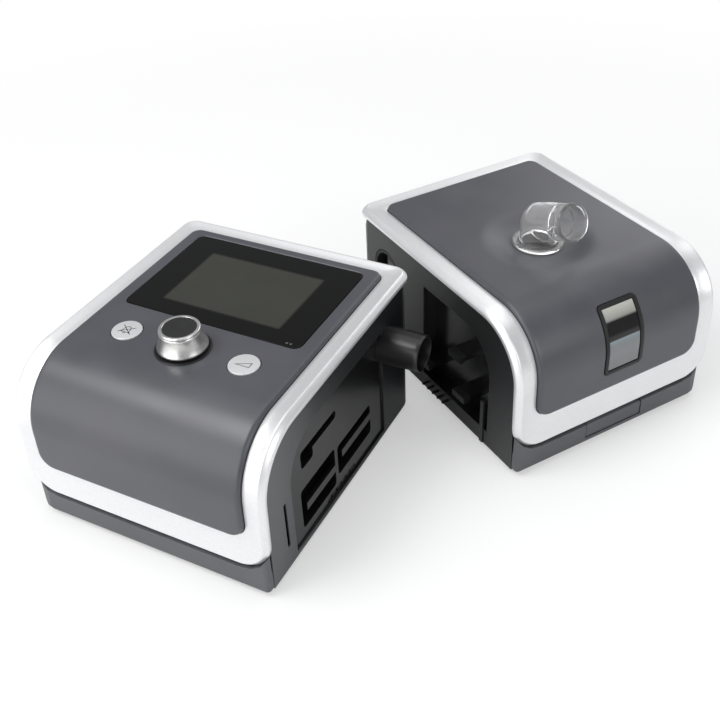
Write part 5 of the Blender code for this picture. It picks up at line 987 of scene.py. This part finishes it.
# Filter cover and base screws: what repeats is placed by a node tree
def repeatTree(name, part, finish):
    # Instances one part along a line: named inputs for how many, the first place and the step
    tree = bpy.data.node_groups.new(name, "GeometryNodeTree")
    tree.interface.new_socket("Count", in_out="INPUT", socket_type="NodeSocketInt")
    tree.interface.new_socket("First", in_out="INPUT", socket_type="NodeSocketVector")
    tree.interface.new_socket("Step", in_out="INPUT", socket_type="NodeSocketVector")
    tree.interface.new_socket("Geometry", in_out="OUTPUT", socket_type="NodeSocketGeometry")
    given = addNode(tree, "NodeGroupInput").outputs
    line = addNode(tree, "GeometryNodeMeshLine", {"mode": "OFFSET"},
                   {"Count": given["Count"], "Start Location": given["First"], "Offset": given["Step"]})
    shape = addNode(tree, "GeometryNodeObjectInfo", {"Object": part})
    placed = addNode(tree, "GeometryNodeInstanceOnPoints",
                     links={"Points": line.outputs[0], "Instance": shape.outputs["Geometry"]})
    real = addNode(tree, "GeometryNodeRealizeInstances", links={"Geometry": placed.outputs[0]})
    coated = addNode(tree, "GeometryNodeSetMaterial", {"Material": finish}, {"Geometry": real.outputs[0]})
    addNode(tree, "NodeGroupOutput", links={0: coated.outputs[0]})
    return tree


def repeated(name, bm, finish, count, first, step, place):
    # The part's copies as one plain mesh, put in place
    part = newPiece("part", bm, finish)
    mesh = bpy.data.meshes.new(name)
    row = bpy.data.objects.new(name, mesh)
    bpy.context.collection.objects.link(row)
    tree = repeatTree(name + "Repeat", part, finish)
    holder = row.modifiers.new("repeat", "NODES")
    holder.node_group = tree
    values = {"Count": count, "First": first, "Step": step}
    for item in tree.interface.items_tree:
        if item.in_out == "INPUT":
            holder[item.identifier] = values[item.name]
    applyModifiers(row)
    row.data.transform(place)
    bpy.data.objects.remove(part)
    return row


louvre = {"x": 33.5 * mm - mainWidth / 2, "z": 45 * mm, "width": 40 * mm, "height": 34 * mm, "radius": 3 * mm,
          "gap": 0.3 * mm, "margin": 4 * mm, "low": halfDepth - 5.6 * mm, "depth": 4.2 * mm, "count": 6,
          "blade": 1.5 * mm, "bladeHalf": 0.75 * mm, "bladeRound": 0.5 * mm, "tilt": math.radians(38),
          "round": ((0, 0.4), (0.12, 0.12), (0.4, 0)), "openingRound": 1.2 * mm, "bury": 0.2 * mm}


def filterCover():
    # Rounded plate with one opening, crossed by six tilted blades
    v = louvre
    half, tall = v["width"] / 2 - v["gap"], v["height"] / 2 - v["gap"]
    turn = Matrix.Rotation(math.pi / 2, 4, "X")
    upright = mainPlace @ Matrix.Translation((v["x"], v["low"], v["z"])) @ turn

    def rim(trim):
        return roundedBox(-half + trim, half - trim, -tall + trim, tall - trim, v["radius"] - trim)

    layers = [(rim(0), 0)] + [(rim(trim), z) for trim, z in section(v["round"], 0, -v["depth"])]
    plate = newPiece("filterCover", prismMesh(layers), finishes["dark_plastic"], upright)
    wide, high = v["width"] / 2 - v["margin"], v["height"] / 2 - v["margin"]
    opening = roundedBox(-wide, wide, -high, high, v["openingRound"])
    carve(plate, [prismMesh([(opening, -v["depth"] - mm), (opening, mm)])], upright)
    settle(plate, "filter_cover")
    blade = roundedBox(-v["bladeHalf"], v["bladeHalf"], -v["blade"], v["blade"], v["bladeRound"], steps=4)
    bm = prismMesh([(blade, z) for z in (-wide - v["bury"], wide + v["bury"])])
    bmesh.ops.transform(bm, matrix=Matrix.Rotation(v["tilt"], 4, "X") @ Matrix.Rotation(math.pi / 2, 4, "Y"),
                        verts=bm.verts)
    step = 2 * high / v["count"]
    blades = repeated("filterBlades", bm, finishes["dark_plastic"], v["count"],
                      (v["x"], v["low"] + v["depth"] / 2, v["z"] - high + step / 2), (0, 0, step), mainPlace)
    settle(blades, body="filter_door", slot="dark_plastic")


filterCover()


def baseScrews():
    # Plain round screw heads under each base, two rows of two a module
    s = {"head": ((0, 0.3), (2.6, 0.3), (2.6, -0.1), (2.3, -0.4), (0, -0.5)), "steps": 24, "edge": 24 * mm,
         "row": 38 * mm}
    for name, body, place, width in (("mainScrews", "main_unit", mainPlace, mainWidth),
                                     ("humidifierScrews", "humidifier", humidifierPlace, humidifierWidth)):
        for label, side in (("Front", -1), ("Rear", 1)):
            head = latheMesh(section(s["head"], 0, 0), s["steps"])
            reach = width / 2 - s["edge"]
            row = repeated(name + label, head, finishes["bright_steel"], 2, (-reach, side * s["row"], 0),
                           (2 * reach, 0, 0), place)
            settle(row, body=body, slot="bright_steel")


baseScrews()
print("filter cover and screws made")


# Studio: camera, floor, lamps
def seenRays(tree):
    # One for rays from the camera, also through clear pieces
    path = addNode(tree, "ShaderNodeLightPath")
    return addNode(tree, "ShaderNodeMath", {"operation": "MAXIMUM"},
                   {0: path.outputs["Is Camera Ray"], 1: path.outputs["Is Transmission Ray"]})


def studio():
    camera = {"focal": 47.864, "azimuth": 28.465, "elevation": 37.591, "roll": -2.818,
              "distance": 546.405 * mm, "target": (-19.96 * mm, -34.11 * mm, 49.5 * mm), "sensor": 36,
              "near": 10 * mm}
    around, above, roll = (math.radians(camera[key]) for key in ("azimuth", "elevation", "roll"))
    back = Vector((math.sin(around) * math.cos(above), -math.cos(around) * math.cos(above), math.sin(above)))
    right = Vector((math.cos(around), math.sin(around), 0))
    up = back.cross(right)
    across = right * math.cos(roll) + up * math.sin(roll)
    upward = up * math.cos(roll) - right * math.sin(roll)
    data = bpy.data.cameras.new("studioCamera")
    data.lens = camera["focal"]
    data.sensor_width = camera["sensor"]
    data.clip_start = camera["near"]
    seat = bpy.data.objects.new("studioCamera", data)
    seat.matrix_world = Matrix.Translation(Vector(camera["target"]) + back * camera["distance"]) @ Matrix(
        (across, upward, back)).transposed().to_4x4()
    bpy.context.collection.objects.link(seat)
    bpy.context.scene.camera = seat

    # The floor shows shadows close by and fades to plain white farther out
    floor = {"half": 3.0, "colour": "#f2f2f2", "glow": 0.42, "near": 0.3, "far": 0.75, "drop": 0.05 * mm}
    mesh = bpy.data.meshes.new("floor")
    corners = [(-floor["half"], -floor["half"]), (floor["half"], -floor["half"]),
               (floor["half"], floor["half"]), (-floor["half"], floor["half"])]
    mesh.from_pydata([(x, y, -floor["drop"]) for x, y in corners], [], [(0, 1, 2, 3)])
    ground = bpy.data.objects.new("floor", mesh)
    bpy.context.collection.objects.link(ground)
    material = bpy.data.materials.new("paperFloor")
    material.use_nodes = True
    tree = material.node_tree
    tree.nodes.clear()
    paper = addNode(tree, "ShaderNodeBsdfDiffuse", {"Color": linear(floor["colour"])})
    glow = addNode(tree, "ShaderNodeEmission", {"Color": (1, 1, 1, 1), "Strength": 1})
    seen = seenRays(tree)
    away = addNode(tree, "ShaderNodeVectorMath", {"operation": "LENGTH"}, {0: objectPoint(tree)})
    limits = {"From Min": floor["near"], "From Max": floor["far"], "To Min": floor["glow"], "To Max": 1}
    fade = addNode(tree, "ShaderNodeMapRange", limits, {"Value": away.outputs["Value"]})
    share = addNode(tree, "ShaderNodeMath", {"operation": "MULTIPLY"},
                    {0: seen.outputs[0], 1: fade.outputs[0]})
    mixed = addNode(tree, "ShaderNodeMixShader", links={0: share.outputs[0], 1: paper.outputs[0],
                                                        2: glow.outputs[0]})
    addNode(tree, "ShaderNodeOutputMaterial", links={"Surface": mixed.outputs[0]})
    mesh.materials.append(material)

    lamps = [
        {"name": "noseBox", "at": (-0.54, -0.5, 1.08), "aim": (-0.08, -0.12, 0.06), "size": (0.62, 0.5),
         "watts": 7},
        {"name": "overheadBox", "at": (-0.1, 0.2, 1.2), "aim": (-0.05, 0, 0), "size": (1.2, 0.9), "watts": 4},
        {"name": "frontBox", "at": (-0.5, -1.3, 0.5), "aim": (-0.05, -0.05, 0.03), "size": (1.7, 1.0),
         "watts": 11},
        {"name": "rightBox", "at": (1.1, -0.35, 0.6), "aim": (0, 0, 0.03), "size": (0.7, 0.6), "watts": 4},
        {"name": "rearBox", "at": (0.2, 1.2, 0.8), "aim": (0, 0, 0.05), "size": (1.0, 0.5), "watts": 3},
    ]
    for lamp in lamps:
        light = bpy.data.lights.new(lamp["name"], "AREA")
        light.shape = "RECTANGLE"
        light.size, light.size_y = lamp["size"]
        light.energy = lamp["watts"]
        holder = bpy.data.objects.new(lamp["name"], light)
        holder.location = lamp["at"]
        holder.rotation_euler = (Vector(lamp["aim"]) - Vector(lamp["at"])).to_track_quat("-Z", "Y").to_euler()
        bpy.context.collection.objects.link(holder)

    sky = {"ambient": "#e9ebee", "ambientStrength": 0.45}
    world = bpy.data.worlds.new("studioTent")
    bpy.context.scene.world = world
    world.use_nodes = True
    tree = world.node_tree
    tree.nodes.clear()
    ambient = addNode(tree, "ShaderNodeBackground",
                      {"Color": linear(sky["ambient"]), "Strength": sky["ambientStrength"]})
    white = addNode(tree, "ShaderNodeBackground", {"Color": (1, 1, 1, 1), "Strength": 1})
    seen = seenRays(tree)
    mixed = addNode(tree, "ShaderNodeMixShader", links={0: seen.outputs[0], 1: ambient.outputs[0],
                                                        2: white.outputs[0]})
    addNode(tree, "ShaderNodeOutputWorld", links={"Surface": mixed.outputs[0]})
    bpy.context.scene.view_settings.view_transform = "Standard"


studio()
print("studio set")
